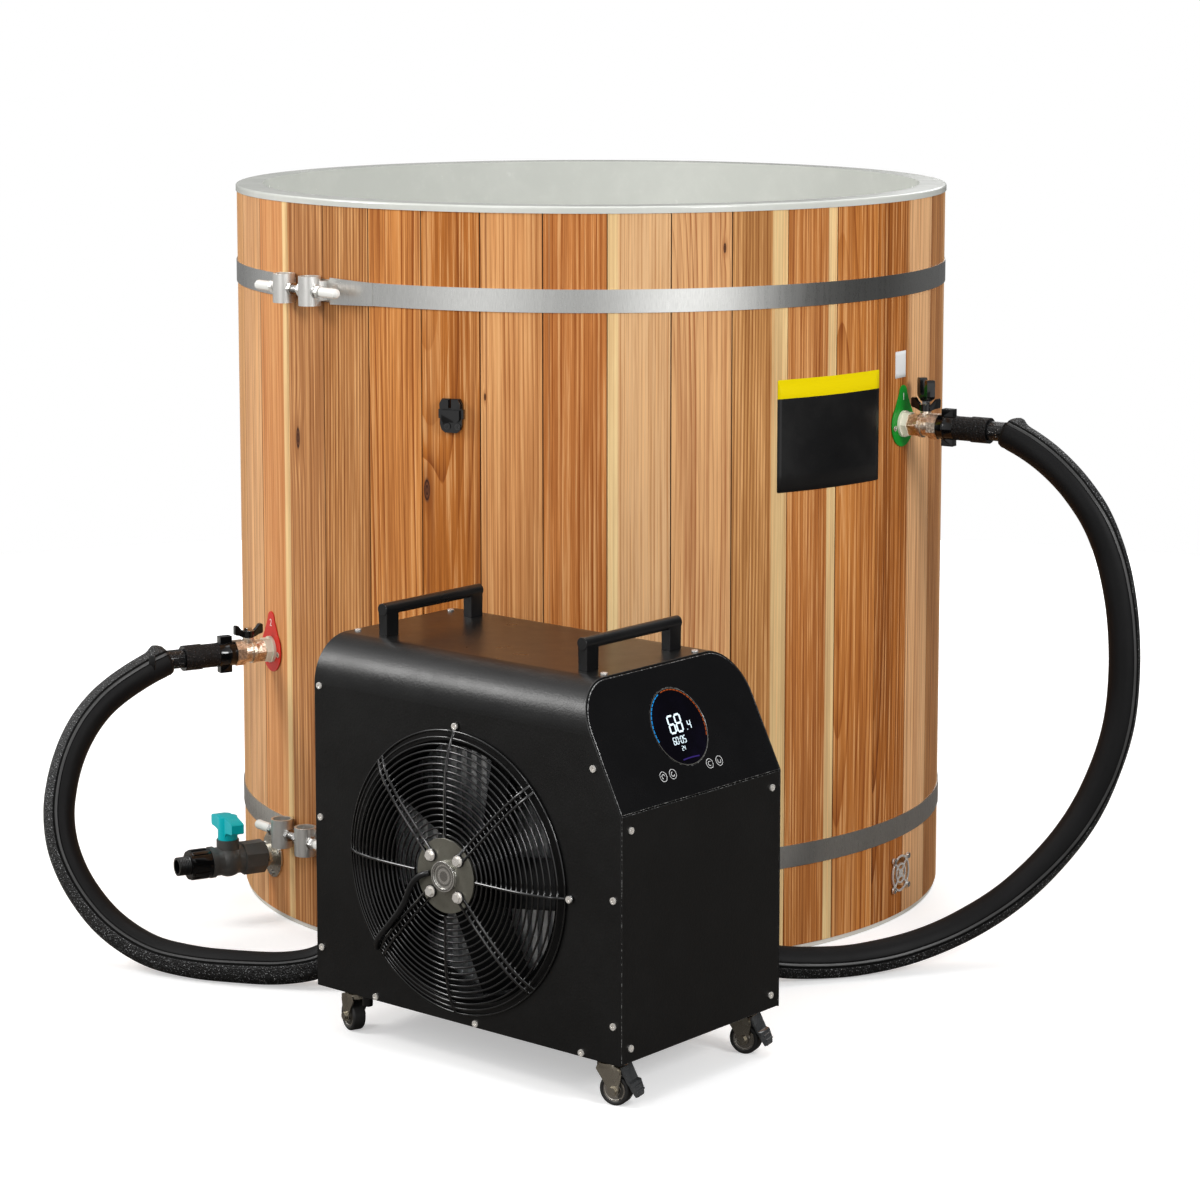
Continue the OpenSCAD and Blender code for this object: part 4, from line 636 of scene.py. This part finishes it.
# Each hoop is pulled up by two tangent rods between a pair of welded steel
# barrels, with washers, hexagon nuts and white vinyl caps over the free ends.
lug_steel = finish("lug_steel", (0.78, 0.77, 0.74, 1.0), (0.55, 0.54, 0.51, 1.0), 0.45, 0.0016, 0.00004,
                   0.34, 0.25, metallic=0.85)
nut_steel = finish("nut_steel", (0.72, 0.71, 0.69, 1.0), (0.5, 0.5, 0.48, 1.0), 0.3, 0.001, 0.00003,
                   0.2, 0.2, metallic=1.0)
cap_vinyl = finish("cap_vinyl", srgb(236, 236, 232), srgb(214, 210, 200), 0.3, 0.0014, 0.00005,
                   0.42, 0.15, coat=0.15)
rods_bearing = -50.0


def threaded(name, angle, pitch, colour, roughness, metallic):
    # a row of ridges along the line that runs at this angle, as a bump, with painted shade darkening the
    # roots between them
    made, shader = new_paint(name)
    tree = shader.id_data
    turned = step(tree, "Mapping", {"Vector": place_in(tree),
                                    "Rotation": (0.0, 0.0, -math.radians(angle))})[0]
    ridge = over(calc("PINGPONG", step(tree, "SeparateXYZ", {0: turned})[0], pitch / 2), pitch / 2)
    root_shade = tuple(c * 0.35 for c in colour[:3]) + (1.0,)
    cover(shader, mixed(ramp(ridge, 0.0, 0.6, 1.0, 0.0), colour, root_shade),
          ramp(ridge, 0.0, 1.0, roughness + 0.2, roughness), ridge, pitch * 0.35, metallic=metallic)
    return made


rod_steel = threaded("rod_steel", rods_bearing, 0.0015, (0.66, 0.65, 0.63, 1.0), 0.22, 1.0)
dressed("hoop_lugs", lug_steel, edge=0.0008)
dressed("tension_nuts", nut_steel, edge=0.0005)
dressed("tension_rods", rod_steel, edge=0.0004)
dressed("rod_caps", cap_vinyl, edge=0.0005)

# Port plates

# A green plate marks the inlet and a red one the outlet, each a flat moulded
# teardrop under its bulkhead nut with a plain raised numeral and three
# chrome pan-head screws into the staves.
green = finish("green_plastic", srgb(0, 140, 34), srgb(40, 164, 68), 0.2, 0.001, 0.00005, 0.36, 0.2,
               specular=0.25, coat=0.08)
red = finish("red_plastic", srgb(208, 36, 24), srgb(220, 70, 54), 0.2, 0.001, 0.00005, 0.36, 0.2,
             specular=0.2, coat=0.05)
numeral_white = finish("numeral_white", srgb(236, 236, 232), srgb(214, 212, 204), 0.3, 0.001, 0.00003, 0.5)
chrome = finish("screw_chrome", (0.78, 0.78, 0.77, 1.0), (0.6, 0.6, 0.58, 1.0), 0.2, 0.0008, 0.00001,
                0.12, 0.12, metallic=1.0)
screw_black = finish("screw_black", srgb(18, 18, 19), srgb(60, 60, 60), 0.3, 0.0008, 0.00002, 0.3, 0.2,
                     specular=0.6)
numeral_size, numeral_thick = 0.014, 0.0003
numeral_up, plate_face = 0.0365, 0.00172
strap_bearing, strap_height = -21.0, 0.728


def numeral(name, text, bearing, z):
    # a number cut from flat sheet, read along the wall and standing out from it
    letters = bpy.data.curves.new(name, "FONT")
    letters.body = text
    letters.size = numeral_size
    letters.align_x, letters.align_y = "CENTER", "CENTER"
    letters.extrude = numeral_thick / 2
    letters.resolution_u = 4
    holder = bpy.data.objects.new(name + "_outline", letters)
    mesh = bpy.data.meshes.new_from_object(holder)
    bpy.data.objects.remove(holder)
    bpy.data.curves.remove(letters)
    mesh.transform(Matrix.Translation((0, 0, numeral_thick / 2)))
    turn = math.radians(bearing)
    along = Vector((math.cos(turn), math.sin(turn), 0.0))
    outward = Vector((math.sin(turn), -math.cos(turn), 0.0))
    turned = Matrix((along, Vector((0.0, 0.0, 1.0)), outward)).transposed().to_4x4()
    mesh.transform(Matrix.Translation(at_wall(bearing, plate_face, z)) @ turned)
    mesh.materials.clear()
    mesh.materials.append(numeral_white)
    show(bpy.data.objects.new(name, mesh))


def by_the_strap(face):
    return int((face.calc_center_median() - at_wall(strap_bearing, 0.0, strap_height)).length < 0.04)


dressed("inlet_plate", green, edge=0.0004)
dressed("outlet_plate", red, edge=0.0004)
numeral("inlet_numeral", "1", inlet_bearing, inlet_height + numeral_up)
numeral("outlet_numeral", "2", outlet_bearing, outlet_height + numeral_up)
dressed("wall_screws", [chrome, screw_black], edge=0.0003, choose=by_the_strap)

# Valves

# Ivory bulkhead nuts hold the ports in the wall.  On each sits a forged,
# bead-blasted brass ball valve with a turned outer end and a black butterfly
# handle on the stem; the handles and balls turn together.
ivory = finish("ivory_plastic", srgb(226, 222, 204), srgb(204, 196, 170), 0.35, 0.001, 0.00008, 0.45, 0.2)
brass = finish("brass_blasted", (0.86, 0.73, 0.59, 1.0), (0.98, 0.93, 0.85, 1.0), 0.95, 0.0016, 0.0006,
               0.33, 0.3, metallic=1.0)
ball_chrome = finish("ball_chrome", (0.75, 0.75, 0.74, 1.0), (0.6, 0.6, 0.6, 1.0), 0.2, 0.001, 0.00001,
                     0.1, 0.1, metallic=1.0)
moulded_black = finish("moulded_black", srgb(9, 9, 10), srgb(26, 26, 27), 0.15, 0.0009, 0.00005, 0.22,
                       0.2, specular=0.22, coat=0.5, coat_roughness=0.06)


def tinted(made, mask, colour):
    # a second colour over the finish, where the mask lets it through
    shader = made.node_tree.nodes["Principled BSDF"]
    tone = shader.inputs["Base Color"].links[0].from_socket
    feed(shader, {"Base Color": mixed(mask, tone, colour)})


pits = mottle(place_in(brass.node_tree), 230.0, 3.0, 0.7)
tinted(brass, ramp(pits, 0.60, 0.42, 0.0, 0.62), (0.34, 0.24, 0.16, 1.0))
dressed("bulkhead_fittings", ivory, edge=0.0005)
for side in ("inlet", "outlet"):
    dressed(side + "_valve_body", brass, edge=0.0009, segments=3)
    dressed(side + "_ball", ball_chrome, side + "_valve_handle", edge=0.0005)
    dressed(side + "_handle", moulded_black, side + "_valve_handle", edge=0.0011,
            segments=3)

# Drain

# A steel flange on three screws carries a grey plastic ball valve with a
# teal lever, and a ribbed black union nut holds the threaded spout.
drain_bearing, drain_height = -61.5, 0.084
spout_from, spout_middle, spout_reach = 0.1268, 0.135, 0.0165
grey_pvc = finish("grey_pvc", srgb(70, 69, 67), srgb(98, 96, 92), 0.35, 0.0012, 0.00008, 0.4, 0.25, coat=0.1)
teal = finish("teal_plastic", srgb(0, 188, 198), srgb(10, 200, 208), 0.2, 0.0012, 0.00005, 0.3, 0.15,
              specular=0.2, coat=0.12, coat_roughness=0.08)
flange_steel = finish("flange_steel", (0.66, 0.63, 0.56, 1.0), (0.45, 0.42, 0.36, 1.0), 0.5, 0.0018,
                      0.00004, 0.28, 0.3, metallic=1.0)
ball_white = finish("ball_white", srgb(226, 226, 222), roughness=0.25)
spout_black = threaded("spout_black", drain_bearing - 90.0, 0.0023, srgb(13, 13, 14), 0.34, 0.0)
drain_way = at_wall(drain_bearing, 0.0, 0.0).normalized()


def spout_thread(face):
    middle = face.calc_center_median()
    return int(middle.dot(drain_way) > tub_radius + spout_from and abs(face.normal.dot(drain_way)) < 0.9
               and (middle - at_wall(drain_bearing, spout_middle, drain_height)).length < spout_reach)


dressed("drain_flange", flange_steel, edge=0.0004)
dressed("drain_valve_body", grey_pvc, edge=0.0012, segments=3)
dressed("drain_ball", ball_white, "drain_valve_handle", edge=0.0004)
dressed("drain_handle", teal, "drain_valve_handle", edge=0.0014, segments=3)
dressed("drain_union_nut", [moulded_black, spout_black], edge=0.0007, choose=spout_thread)

# Couplers and tails

# Each hose ends in a glossy two-lugged quick coupler with a woven nylon
# sleeve behind it, and a short bare length of braided hose before the jacket.
glossy_black = finish("coupler_gloss", srgb(8, 8, 9), srgb(22, 22, 23), 0.15, 0.002, 0.00003, 0.12,
                      0.12, specular=0.25, coat=0.35, coat_roughness=0.05)
sleeve_from, sleeve_to = 0.0835, 0.1285

woven, given, gives = effect("woven_sleeve", {
    "Yarn": srgb(22, 22, 23), "Glint": srgb(120, 120, 122), "Yarn width": 0.0014})
place = place_in(woven)
cells = step(woven, "TexVoronoi", {"Vector": place, "Scale": over(1.0, given["Yarn width"])},
             distance="MANHATTAN")["Distance"]
bright = times(ramp(cells, 0.46, 0.20), ramp(mottle(place, 900.0, 1.0), 0.54, 0.64))
feed(gives, {"Colour": mixed(bright, given["Yarn"], given["Glint"]),
             "Roughness": ramp(cells, 0.1, 0.8, 0.28, 0.6), "Height": less(1.0, cells)})
sleeve_cloth = paint("sleeve_nylon", woven, {"Yarn": srgb(7, 7, 8), "Glint": srgb(104, 104, 106),
                                             "Yarn width": 0.0026}, 0.0008, specular=0.25)
braid_cloth = paint("hose_braid", woven, {"Yarn": srgb(6, 6, 7), "Glint": srgb(226, 222, 220),
                                          "Yarn width": 0.0026}, 0.0012, specular=0.25, coat=0.5)


def coupler_part(face):
    middle = face.calc_center_median()
    for bearing, z in ((inlet_bearing, inlet_height), (outlet_bearing, outlet_height)):
        out = middle.dot(at_wall(bearing, 0.0, 0.0).normalized()) - tub_radius
        if (middle - at_wall(bearing, out, z)).length < 0.06:
            return int(sleeve_from < out < sleeve_to)
    return 0


dressed("hose_couplings", [glossy_black, sleeve_cloth], edge=0.0006, choose=coupler_part)
dressed("hose_tails", braid_cloth, edge=0.0005)

# Fittings on the wall

# A black moulded strap clip for a cover, a chrome guard over the vent, and
# two vinyl stickers left bare: a wide two-colour panel and a small white tag.
screw_bright = finish("screw_bright", (0.88, 0.85, 0.81, 1.0), (0.6, 0.57, 0.53, 1.0), 0.25, 0.0008,
                      0.00001, 0.26, 0.15, metallic=0.6)
sticker_black = finish("sticker_black", srgb(18, 18, 19), srgb(44, 43, 42), 0.3, 0.002, 0.00003, 0.33,
                       0.2, specular=0.3, coat=0.05)
sticker_yellow = finish("sticker_yellow", srgb(226, 203, 0), srgb(230, 208, 6), 0.25, 0.002, 0.00003,
                        0.4, 0.2, specular=0.05)
sticker_white = finish("sticker_white", srgb(232, 232, 232), srgb(205, 205, 203), 0.35, 0.001, 0.00003, 0.5)
dressed("strap_clip", moulded_black, edge=0.0009, segments=3)
dressed("vent_guard", screw_bright, edge=0.0005)


def sheet(bm, name, finishes, thickness, place=None):
    # a flat sheet's mesh, given its thickness outwards
    piece = built(bm, name, finishes, place)
    wall = piece.modifiers.new("sheet thickness", "SOLIDIFY")
    wall.thickness, wall.offset = thickness, 1.0
    return show(piece)


def turned_to(bm, way):
    # every face of the flat sheet looks this way
    bmesh.ops.recalc_face_normals(bm, faces=bm.faces)
    if sum((f.normal for f in bm.faces), Vector()).dot(way) < 0:
        bmesh.ops.reverse_faces(bm, faces=bm.faces)


def sticker(name, left, right, low, high, split, finishes):
    # left and right are bearings; above the split the second finish begins
    bm = bmesh.new()
    bmesh.ops.create_grid(bm, x_segments=24, y_segments=6, size=0.5)
    if split:
        bmesh.ops.bisect_plane(bm, geom=bm.verts[:] + bm.edges[:] + bm.faces[:], dist=1e-6,
                               plane_co=(0, (split - low) / (high - low) - 0.5, 0), plane_no=(0, 1, 0))
    corners = [v for v in bm.verts if abs(abs(v.co.x) - 0.5) < 1e-5 and abs(abs(v.co.y) - 0.5) < 1e-5]
    bmesh.ops.bevel(bm, geom=corners, offset=0.012, segments=3, affect="VERTICES", profile=0.5, material=-1)
    for vert in bm.verts:
        angle = left + (vert.co.x + 0.5) * (right - left)
        z = low + (vert.co.y + 0.5) * (high - low)
        lift = 0.00012 + 0.00012 * noise.noise(Vector((angle * 0.5, z * 60, 1.0)))
        vert.co = at_wall(angle, lift, z)
    for face in bm.faces:
        face.smooth = True
        if split and face.calc_center_median().z > split:
            face.material_index = 1
    turned_to(bm, at_wall((left + right) / 2, 0.0, 0.0))
    sheet(bm, name, finishes, 0.00025)


sticker("wall_panel_sticker", 29.0, 50.2, 0.621, 0.7695, 0.7445, [sticker_black, sticker_yellow])
sticker("wall_tag_sticker", 54.8, 58.1, 0.753, 0.789, None, [sticker_white])

# Chiller cabinet

# A bent steel cover over a floor pan, with flat front and rear panels, all
# in fine-textured black powder coat and held by bright pan-head screws.
powder = finish("powder_coat", srgb(11, 11, 11), srgb(24, 24, 24), 0.22, 0.0016, 0.00018, 0.36, 0.18,
                specular=0.34)
powder_top = finish("powder_coat_top", srgb(12, 12, 12), srgb(25, 25, 25), 0.22, 0.0016, 0.0001, 0.30,
                    0.14, specular=0.8)
pan_powder = finish("pan_powder_coat", srgb(12, 12, 12), srgb(26, 25, 24), 0.3, 0.0011, 0.0001, 0.42,
                    0.2, specular=0.4)
# painted highlight: the bevelled edges of the front panel and the sloped panel get a paler, glossier finish,
# brighter still in broken dashes, for light catching them
painted_edge_highlight = finish("painted_highlight_edge", srgb(26, 26, 27), srgb(60, 60, 60), 0.6, 0.0035, 0.00006, 0.22, 0.2,
                     coat=0.6, coat_roughness=0.08)
highlight_breaks = mottle(place_in(painted_edge_highlight.node_tree), 320.0)
tinted(painted_edge_highlight, ramp(highlight_breaks, 0.50, 0.58), srgb(124, 124, 124))


def flat_sheet(piece):
    # keeps the shading even across a large flat face beside a bend
    flat = piece.modifiers.new("flat sheet shading", "WEIGHTED_NORMAL")
    flat.keep_sharp = True
    flat.weight = 90


flat_sheet(dressed("cabinet_wrap", [powder, powder_top], edge=0.0006,
                   choose=lambda face: int(face.normal.z > 0.99)))
dressed("base_pan", pan_powder, edge=0.0006)
# the front panel's bevelled edges carry the painted edge highlight
dressed("front_panel", [powder, painted_edge_highlight], edge=0.0005, rim=1)
dressed("rear_panel", powder, edge=0.0005)
dressed("cabinet_screws", screw_bright, edge=0.0002)

# Control panel

# A glossy sloped panel with a round glass display: a lit ring cool blue to
# warm orange round large white numbers, and four touch keys under it.
panel_gloss = finish("panel_gloss", srgb(16, 16, 17), srgb(28, 28, 29), 0.15, 0.003, 0.00002, 0.26, 0.1,
                     specular=0.14)
glass = finish("display_glass", srgb(7, 6, 12), srgb(16, 13, 30), 0.6, 0.02, 0.0, 0.1, 0.02,
               specular=0.1, coat=0.1, coat_roughness=0.04)
ring_grey = finish("display_ring", srgb(78, 77, 72), srgb(104, 102, 96), 0.3, 0.001, 0.00002, 0.4)
key_white = finish("key_white", srgb(236, 237, 238), srgb(210, 210, 208), 0.3, 0.001, 0.00002, 0.5)
# the sloped panel's bevelled edges carry the painted edge highlight
flat_sheet(dressed("control_bezel", [panel_gloss, painted_edge_highlight], edge=0.0007, rim=1))
dressed("display_lens", glass, edge=0.0002)
slope = chiller @ Matrix.Translation((0.243, 0.0, 0.351)) @ Matrix.Rotation(math.radians(-26.7), 4, "Y")
# X along the panel to the right as seen from in front, Y up the slope, Z outward
panel_face = slope @ Matrix(((0, 0, 1, 0), (1, 0, 0, 0), (0, 1, 0, 0), (0, 0, 0, 1)))


def glowing(name, colour, strength):
    made = finish(name, tuple(c * 0.5 for c in colour[:3]) + (1.0,), colour, 0.3, 0.001, 0.0, 0.3)
    feed(made.node_tree.nodes["Principled BSDF"], {"Emission Color": colour, "Emission Strength": strength})
    return made


lit_white = glowing("display_white", srgb(214, 232, 240), 1.0)
lit_blue = glowing("display_blue", srgb(16, 128, 200), 0.85)
lit_orange = glowing("display_orange", srgb(170, 72, 14), 0.62)
lit_violet = glowing("display_violet", srgb(40, 24, 92), 0.8)
thin = 0.0002


def flat_arc(name, centre, radius, width, start, end, made):
    # an edge spun about the centre into a flat strip, then given thickness
    bm = bmesh.new()
    first = [bm.verts.new((radius - width / 2, 0, 0)), bm.verts.new((radius + width / 2, 0, 0))]
    edge = bm.edges.new(first)
    whole = abs(end - start) > 359.9
    bmesh.ops.rotate(bm, verts=first, cent=(0, 0, 0), matrix=Matrix.Rotation(math.radians(start), 3, "Z"))
    bmesh.ops.spin(bm, geom=[edge] + first, cent=(0, 0, 0), axis=(0, 0, 1), use_merge=whole,
                   angle=math.radians(end - start), steps=max(6, int(abs(end - start) / 5)))
    bmesh.ops.remove_doubles(bm, verts=bm.verts, dist=1e-6)
    turned_to(bm, Vector((0.0, 0.0, 1.0)))
    sheet(bm, name, [made], thin, panel_face @ Matrix.Translation(centre))


display = (0.0, 0.082, 0.00082)
lens_face = display[2]
flat_arc("display_rim_ring", display, 0.0468, 0.0008, 0, 360, ring_grey)
# the lit ring is a row of short bars
bar_pitch, bar_reach = 7.2, 5.4
for name, count, first, width, lit in (("cool", 12, 196, 0.0012, lit_blue),
                                       ("warm", 18, 104, 0.0010, lit_orange)):
    for i in range(count):
        start = first - i * bar_pitch
        flat_arc(f"display_{name}_bar_{i + 1}", display, 0.0450, width, start, start - bar_reach, lit)
bars = {"0": "abcdef", "2": "abged", "4": "fgbc", "5": "afgcd", "6": "afgedc", "8": "abcdefg",
        ":": "xy", ".": "z"}


def bar_digits(name, text, height, x, y):
    # numbers as a display draws them: up to seven slanted bars each, cut from thin sheet
    wide, thick, half = height * 0.46, height * 0.115, height / 2
    side, rise = wide / 2, half / 2
    # each bar's middle, and whether it lies, stands or is a dot
    lines = {"a": (0, half, 0), "g": (0, 0, 0), "d": (0, -half, 0), "b": (side, rise, 1),
             "c": (side, -rise, 1), "f": (-side, rise, 1), "e": (-side, -rise, 1),
             "x": (0, half * 0.4, 2), "y": (0, -half * 0.4, 2), "z": (0, -half, 2)}
    sizes = [(wide * 0.86, thick), (thick, half * 0.88), (thick, thick)]
    bm = bmesh.new()
    pen = 0.0
    for sign in text:
        half_step = wide * (0.2 if sign in ":." else 0.5)
        pen += half_step + thick * 0.6
        for bar in bars[sign]:
            bar_x, bar_y, kind = lines[bar]
            across, up = sizes[kind]
            for vert in bmesh.ops.create_cube(bm, size=1.0)["verts"]:
                vert.co = Vector((vert.co.x * across + bar_x + pen, vert.co.y * up + bar_y,
                                  vert.co.z * thin + thin / 2))
        pen += half_step + thick * 0.9
    edges = [e for e in bm.edges if abs(e.verts[0].co.z - e.verts[1].co.z) > 1e-5]
    bmesh.ops.bevel(bm, geom=edges, offset=thick * 0.3, segments=1, affect="EDGES", profile=0.5, material=-1)
    for vert in bm.verts:
        vert.co.x += vert.co.y * 0.08 - pen / 2
    bmesh.ops.recalc_face_normals(bm, faces=bm.faces)
    show(built(bm, name, [lit_white], panel_face @ Matrix.Translation((x, y, lens_face))))


bar_digits("display_reading", "68", 0.0205, -0.0050, 0.0860)
bar_digits("display_tenths", ".4", 0.0105, 0.0165, 0.0812)
bar_digits("display_set_point", "60:05", 0.0082, -0.0075, 0.0662)
bar_digits("display_small_number", "24", 0.0052, -0.0055, 0.0560)
violet = bmesh.new()
bmesh.ops.create_grid(violet, x_segments=12, y_segments=1, size=0.5)
for vert in violet.verts:
    vert.co = Vector((vert.co.x * 0.030, vert.co.y * 0.0016 + 0.0008 * math.cos(vert.co.x * 2.6), 0.0))
low_bar = built(violet, "display_low_bar", [lit_violet],
                panel_face @ Matrix.Translation((0.0015, 0.0425, lens_face)))
low_bar.modifiers.new("strip thickness", "SOLIDIFY").thickness = thin
show(low_bar)
for i, (x, turn) in enumerate(((-0.0570, 0), (-0.0398, 90), (0.0289, 45), (0.0469, 135))):
    key = (x, 0.0304, 0.00062)
    flat_arc(f"touch_key_{i + 1}", key, 0.0058, 0.0005, 0, 360, key_white)
    flat_arc(f"touch_key_mark_{i + 1}", key, 0.0026, 0.0006, turn, turn + 250, key_white)

# Carrying handles

# Two black anodised aluminium bars on square posts, which are screwed down
# through the top of the cover.
handle_black = finish("handle_anodised", srgb(13, 13, 14), srgb(34, 34, 34), 0.2, 0.0009, 0.00004, 0.3,
                      0.15, coat=0.05)
dressed("carry_handles", handle_black, edge=0.0011, segments=3)

# Fan

# A domed guard of glossy black steel wire over a five-bladed fan; its motor
# hangs on the guard by four bright bolts, with a satin plate and a cap.
wire_black = finish("guard_wire", srgb(4, 4, 5), srgb(12, 12, 13), 0.12, 0.002, 0.00002, 0.14, 0.08,
                    specular=0.2, coat=1.0, coat_roughness=0.02)
plate_satin = finish("motor_plate", (0.27, 0.265, 0.225, 1.0), (0.15, 0.145, 0.12, 1.0), 0.8, 0.0012,
                     0.00006, 0.30, 0.3, metallic=0.8)
cap_bright = finish("motor_cap", (0.74, 0.73, 0.70, 1.0), (0.5, 0.49, 0.46, 1.0), 0.4, 0.002, 0.00004,
                    0.20, 0.2, metallic=0.9)
blade_black = finish("fan_blade", srgb(5, 5, 6), srgb(10, 10, 11), 0.3, 0.002, 0.00005, 0.5, 0.15,
                     specular=0.06)
shroud_black = finish("fan_shroud", srgb(4, 4, 4), srgb(8, 8, 8), 0.3, 0.002, 0.00005, 0.6, specular=0.05)
motor_black = finish("motor_can", srgb(10, 10, 11), srgb(24, 24, 24), 0.3, 0.0015, 0.00008, 0.4,
                     specular=0.2)
lead_rubber = finish("lead_rubber", srgb(14, 14, 15), srgb(36, 36, 37), 0.25, 0.0009, 0.0001, 0.34, 0.2,
                     specular=0.3, coat=0.1)
hub_spot = Vector((-0.009, -0.150, 0.242))
fan_face = chiller @ Matrix.Translation(hub_spot) @ Matrix.Rotation(math.radians(90), 4, "X")
fan_back = fan_face.inverted()

# the cap is turned: fine rings about the motor's axis
cap_place = place_in(cap_bright.node_tree)
from_axis = step(cap_bright.node_tree, "VectorMath", {0: cap_place, 1: chiller @ hub_spot},
                 operation="DISTANCE")["Value"]
tinted(cap_bright, ramp(calc("PINGPONG", from_axis, 0.0011), 0.0003, 0.0008, 0.0, 0.75),
       (0.22, 0.215, 0.20, 1.0))


def motor_part(face):
    # the can behind the plate, then the plate with its bolts, and the cap on its middle
    spot = fan_back @ face.calc_center_median()
    if spot.z < 0.0135:
        return 2
    return int(math.hypot(spot.x, spot.y) < 0.0192 and spot.z > 0.0199)


dressed("fan_guard", wire_black, edge=0, smooth=62)
dressed("fan_motor", [plate_satin, cap_bright, motor_black], edge=0.0004, choose=motor_part)
dressed("fan_rotor", blade_black, "fan", edge=0.0004, smooth=50)
dressed("fan_shroud", shroud_black, edge=0.0004)

# the motor's lead: out of the hub, over the lower left spokes, in at the rim
lead_across = 0.0074
lead_route = follow([fan_face @ point for point in mm(
    (-24.5, -0.5, 21.5), (-30, -2.2, 24.5), (-36.9, -6, 26.2), (-44, -12.5, 27), (-50.5, -21.5, 26.8),
    (-55.5, -31, 26.2), (-61, -41.5, 25.6), (-69, -53, 25.2), (-79, -64.5, 24.6), (-89, -75, 23.8),
    (-98.5, -84.5, 22.6), (-107, -93.2, 20.6), (-114, -101, 17.8), (-119, -107.5, 14),
    (-121.5, -112.5, 10.5))], 4)
line = bpy.data.curves.new("motor_lead", "CURVE")
line.dimensions = "3D"
line.bevel_depth = lead_across / 2
line.bevel_resolution = 5
line.use_fill_caps = True
run = line.splines.new("POLY")
run.points.add(len(lead_route) - 1)
for spot, point in zip(run.points, lead_route):
    spot.co = (*point, 1.0)
line.materials.append(lead_rubber)
lead = show(bpy.data.objects.new("motor_lead", line))

# Inside the cabinet

# The refrigeration set: condenser behind the fan, compressor, heat exchanger
# and circulation pump on the pan.  Sealed in, and finished plainly.
recoat("condenser", finish("fin_aluminium", (0.6, 0.61, 0.62, 1.0), (0.4, 0.4, 0.4, 1.0), 0.4, 0.0016,
                           0.0006, 0.35, metallic=1.0))
recoat("compressor", finish("compressor_paint", srgb(28, 29, 31), srgb(60, 60, 60), 0.3, 0.002, 0.0001, 0.3))
recoat("evaporator", finish("exchanger_shell", srgb(74, 78, 82), srgb(110, 112, 112), 0.3, 0.002, 0.0001,
                            0.45))
recoat("pump", finish("pump_paint", srgb(38, 50, 62), srgb(80, 88, 92), 0.3, 0.002, 0.0001, 0.35))

# Water ports and power inlet

# Black screwed ports take the hoses, the return through an elbow; a fused
# power inlet sits in the rear panel.
dressed("water_ports", moulded_black, edge=0.0008)
dressed("power_inlet", moulded_black, edge=0.0005)

# Casters

# Four swivel casters: zinc-plated forks turning under fixed plates, black
# rubber tyres on pale hubs, and painted brake pedals on the front pair.
zinc = finish("zinc_plate", (0.56, 0.52, 0.44, 1.0), (0.36, 0.33, 0.27, 1.0), 0.6, 0.0012, 0.00004, 0.26,
              0.25, metallic=1.0)
tyre = finish("tyre_rubber", srgb(26, 25, 25), srgb(58, 56, 54), 0.4, 0.0012, 0.0001, 0.6)
hub = finish("hub_plastic", srgb(52, 49, 45), srgb(88, 82, 74), 0.4, 0.0012, 0.00006, 0.4)
hub_ring = finish("hub_ring", srgb(196, 192, 184), srgb(150, 144, 134), 0.4, 0.0012, 0.00006, 0.35)
axle_steel = finish("axle_steel", (0.66, 0.63, 0.58, 1.0), (0.45, 0.43, 0.4, 1.0), 0.3, 0.001, 0.00003,
                    0.2, 0.2, metallic=1.0)
pedal = finish("pedal_paint", srgb(58, 60, 62), srgb(120, 120, 120), 0.35, 0.0014, 0.00005, 0.26, 0.2,
               metallic=0.3, coat=0.3)
dressed("caster_plates", zinc, edge=0.0005)
axle_reach, hub_reach, ring_reach = 0.0052, 0.0098, 0.0122
wheel_trail, wheel_height = 0.010, 0.019
# each corner's place on the chiller and the way its fork trails
for corner, x, y, turn in (("fl", 0.203, -0.122, 14), ("fr", 0.203, 0.122, 14),
                           ("rl", -0.203, -0.122, 160), ("rr", -0.203, 0.122, 120)):
    stand = chiller @ Matrix.Translation((x, y, 0)) @ Matrix.Rotation(math.radians(turn), 4, "Z")
    wheel_back = (stand @ Matrix.Translation((wheel_trail, 0, wheel_height))).inverted()

    def wheel_part(face):
        local = wheel_back @ face.calc_center_median()
        reach = math.hypot(local.x, local.z)
        return 3 if reach < axle_reach else 1 if reach < hub_reach else 2 if reach < ring_reach else 0

    dressed("caster_fork_" + corner, zinc, "caster_" + corner, edge=0.0005)
    dressed("wheel_" + corner, [tyre, hub, hub_ring, axle_steel], "wheel_" + corner,
            edge=0.0003, choose=wheel_part)
for corner in ("fl", "fr"):
    dressed("brake_pedal_" + corner, pedal, "brake_" + corner, edge=0.0006)
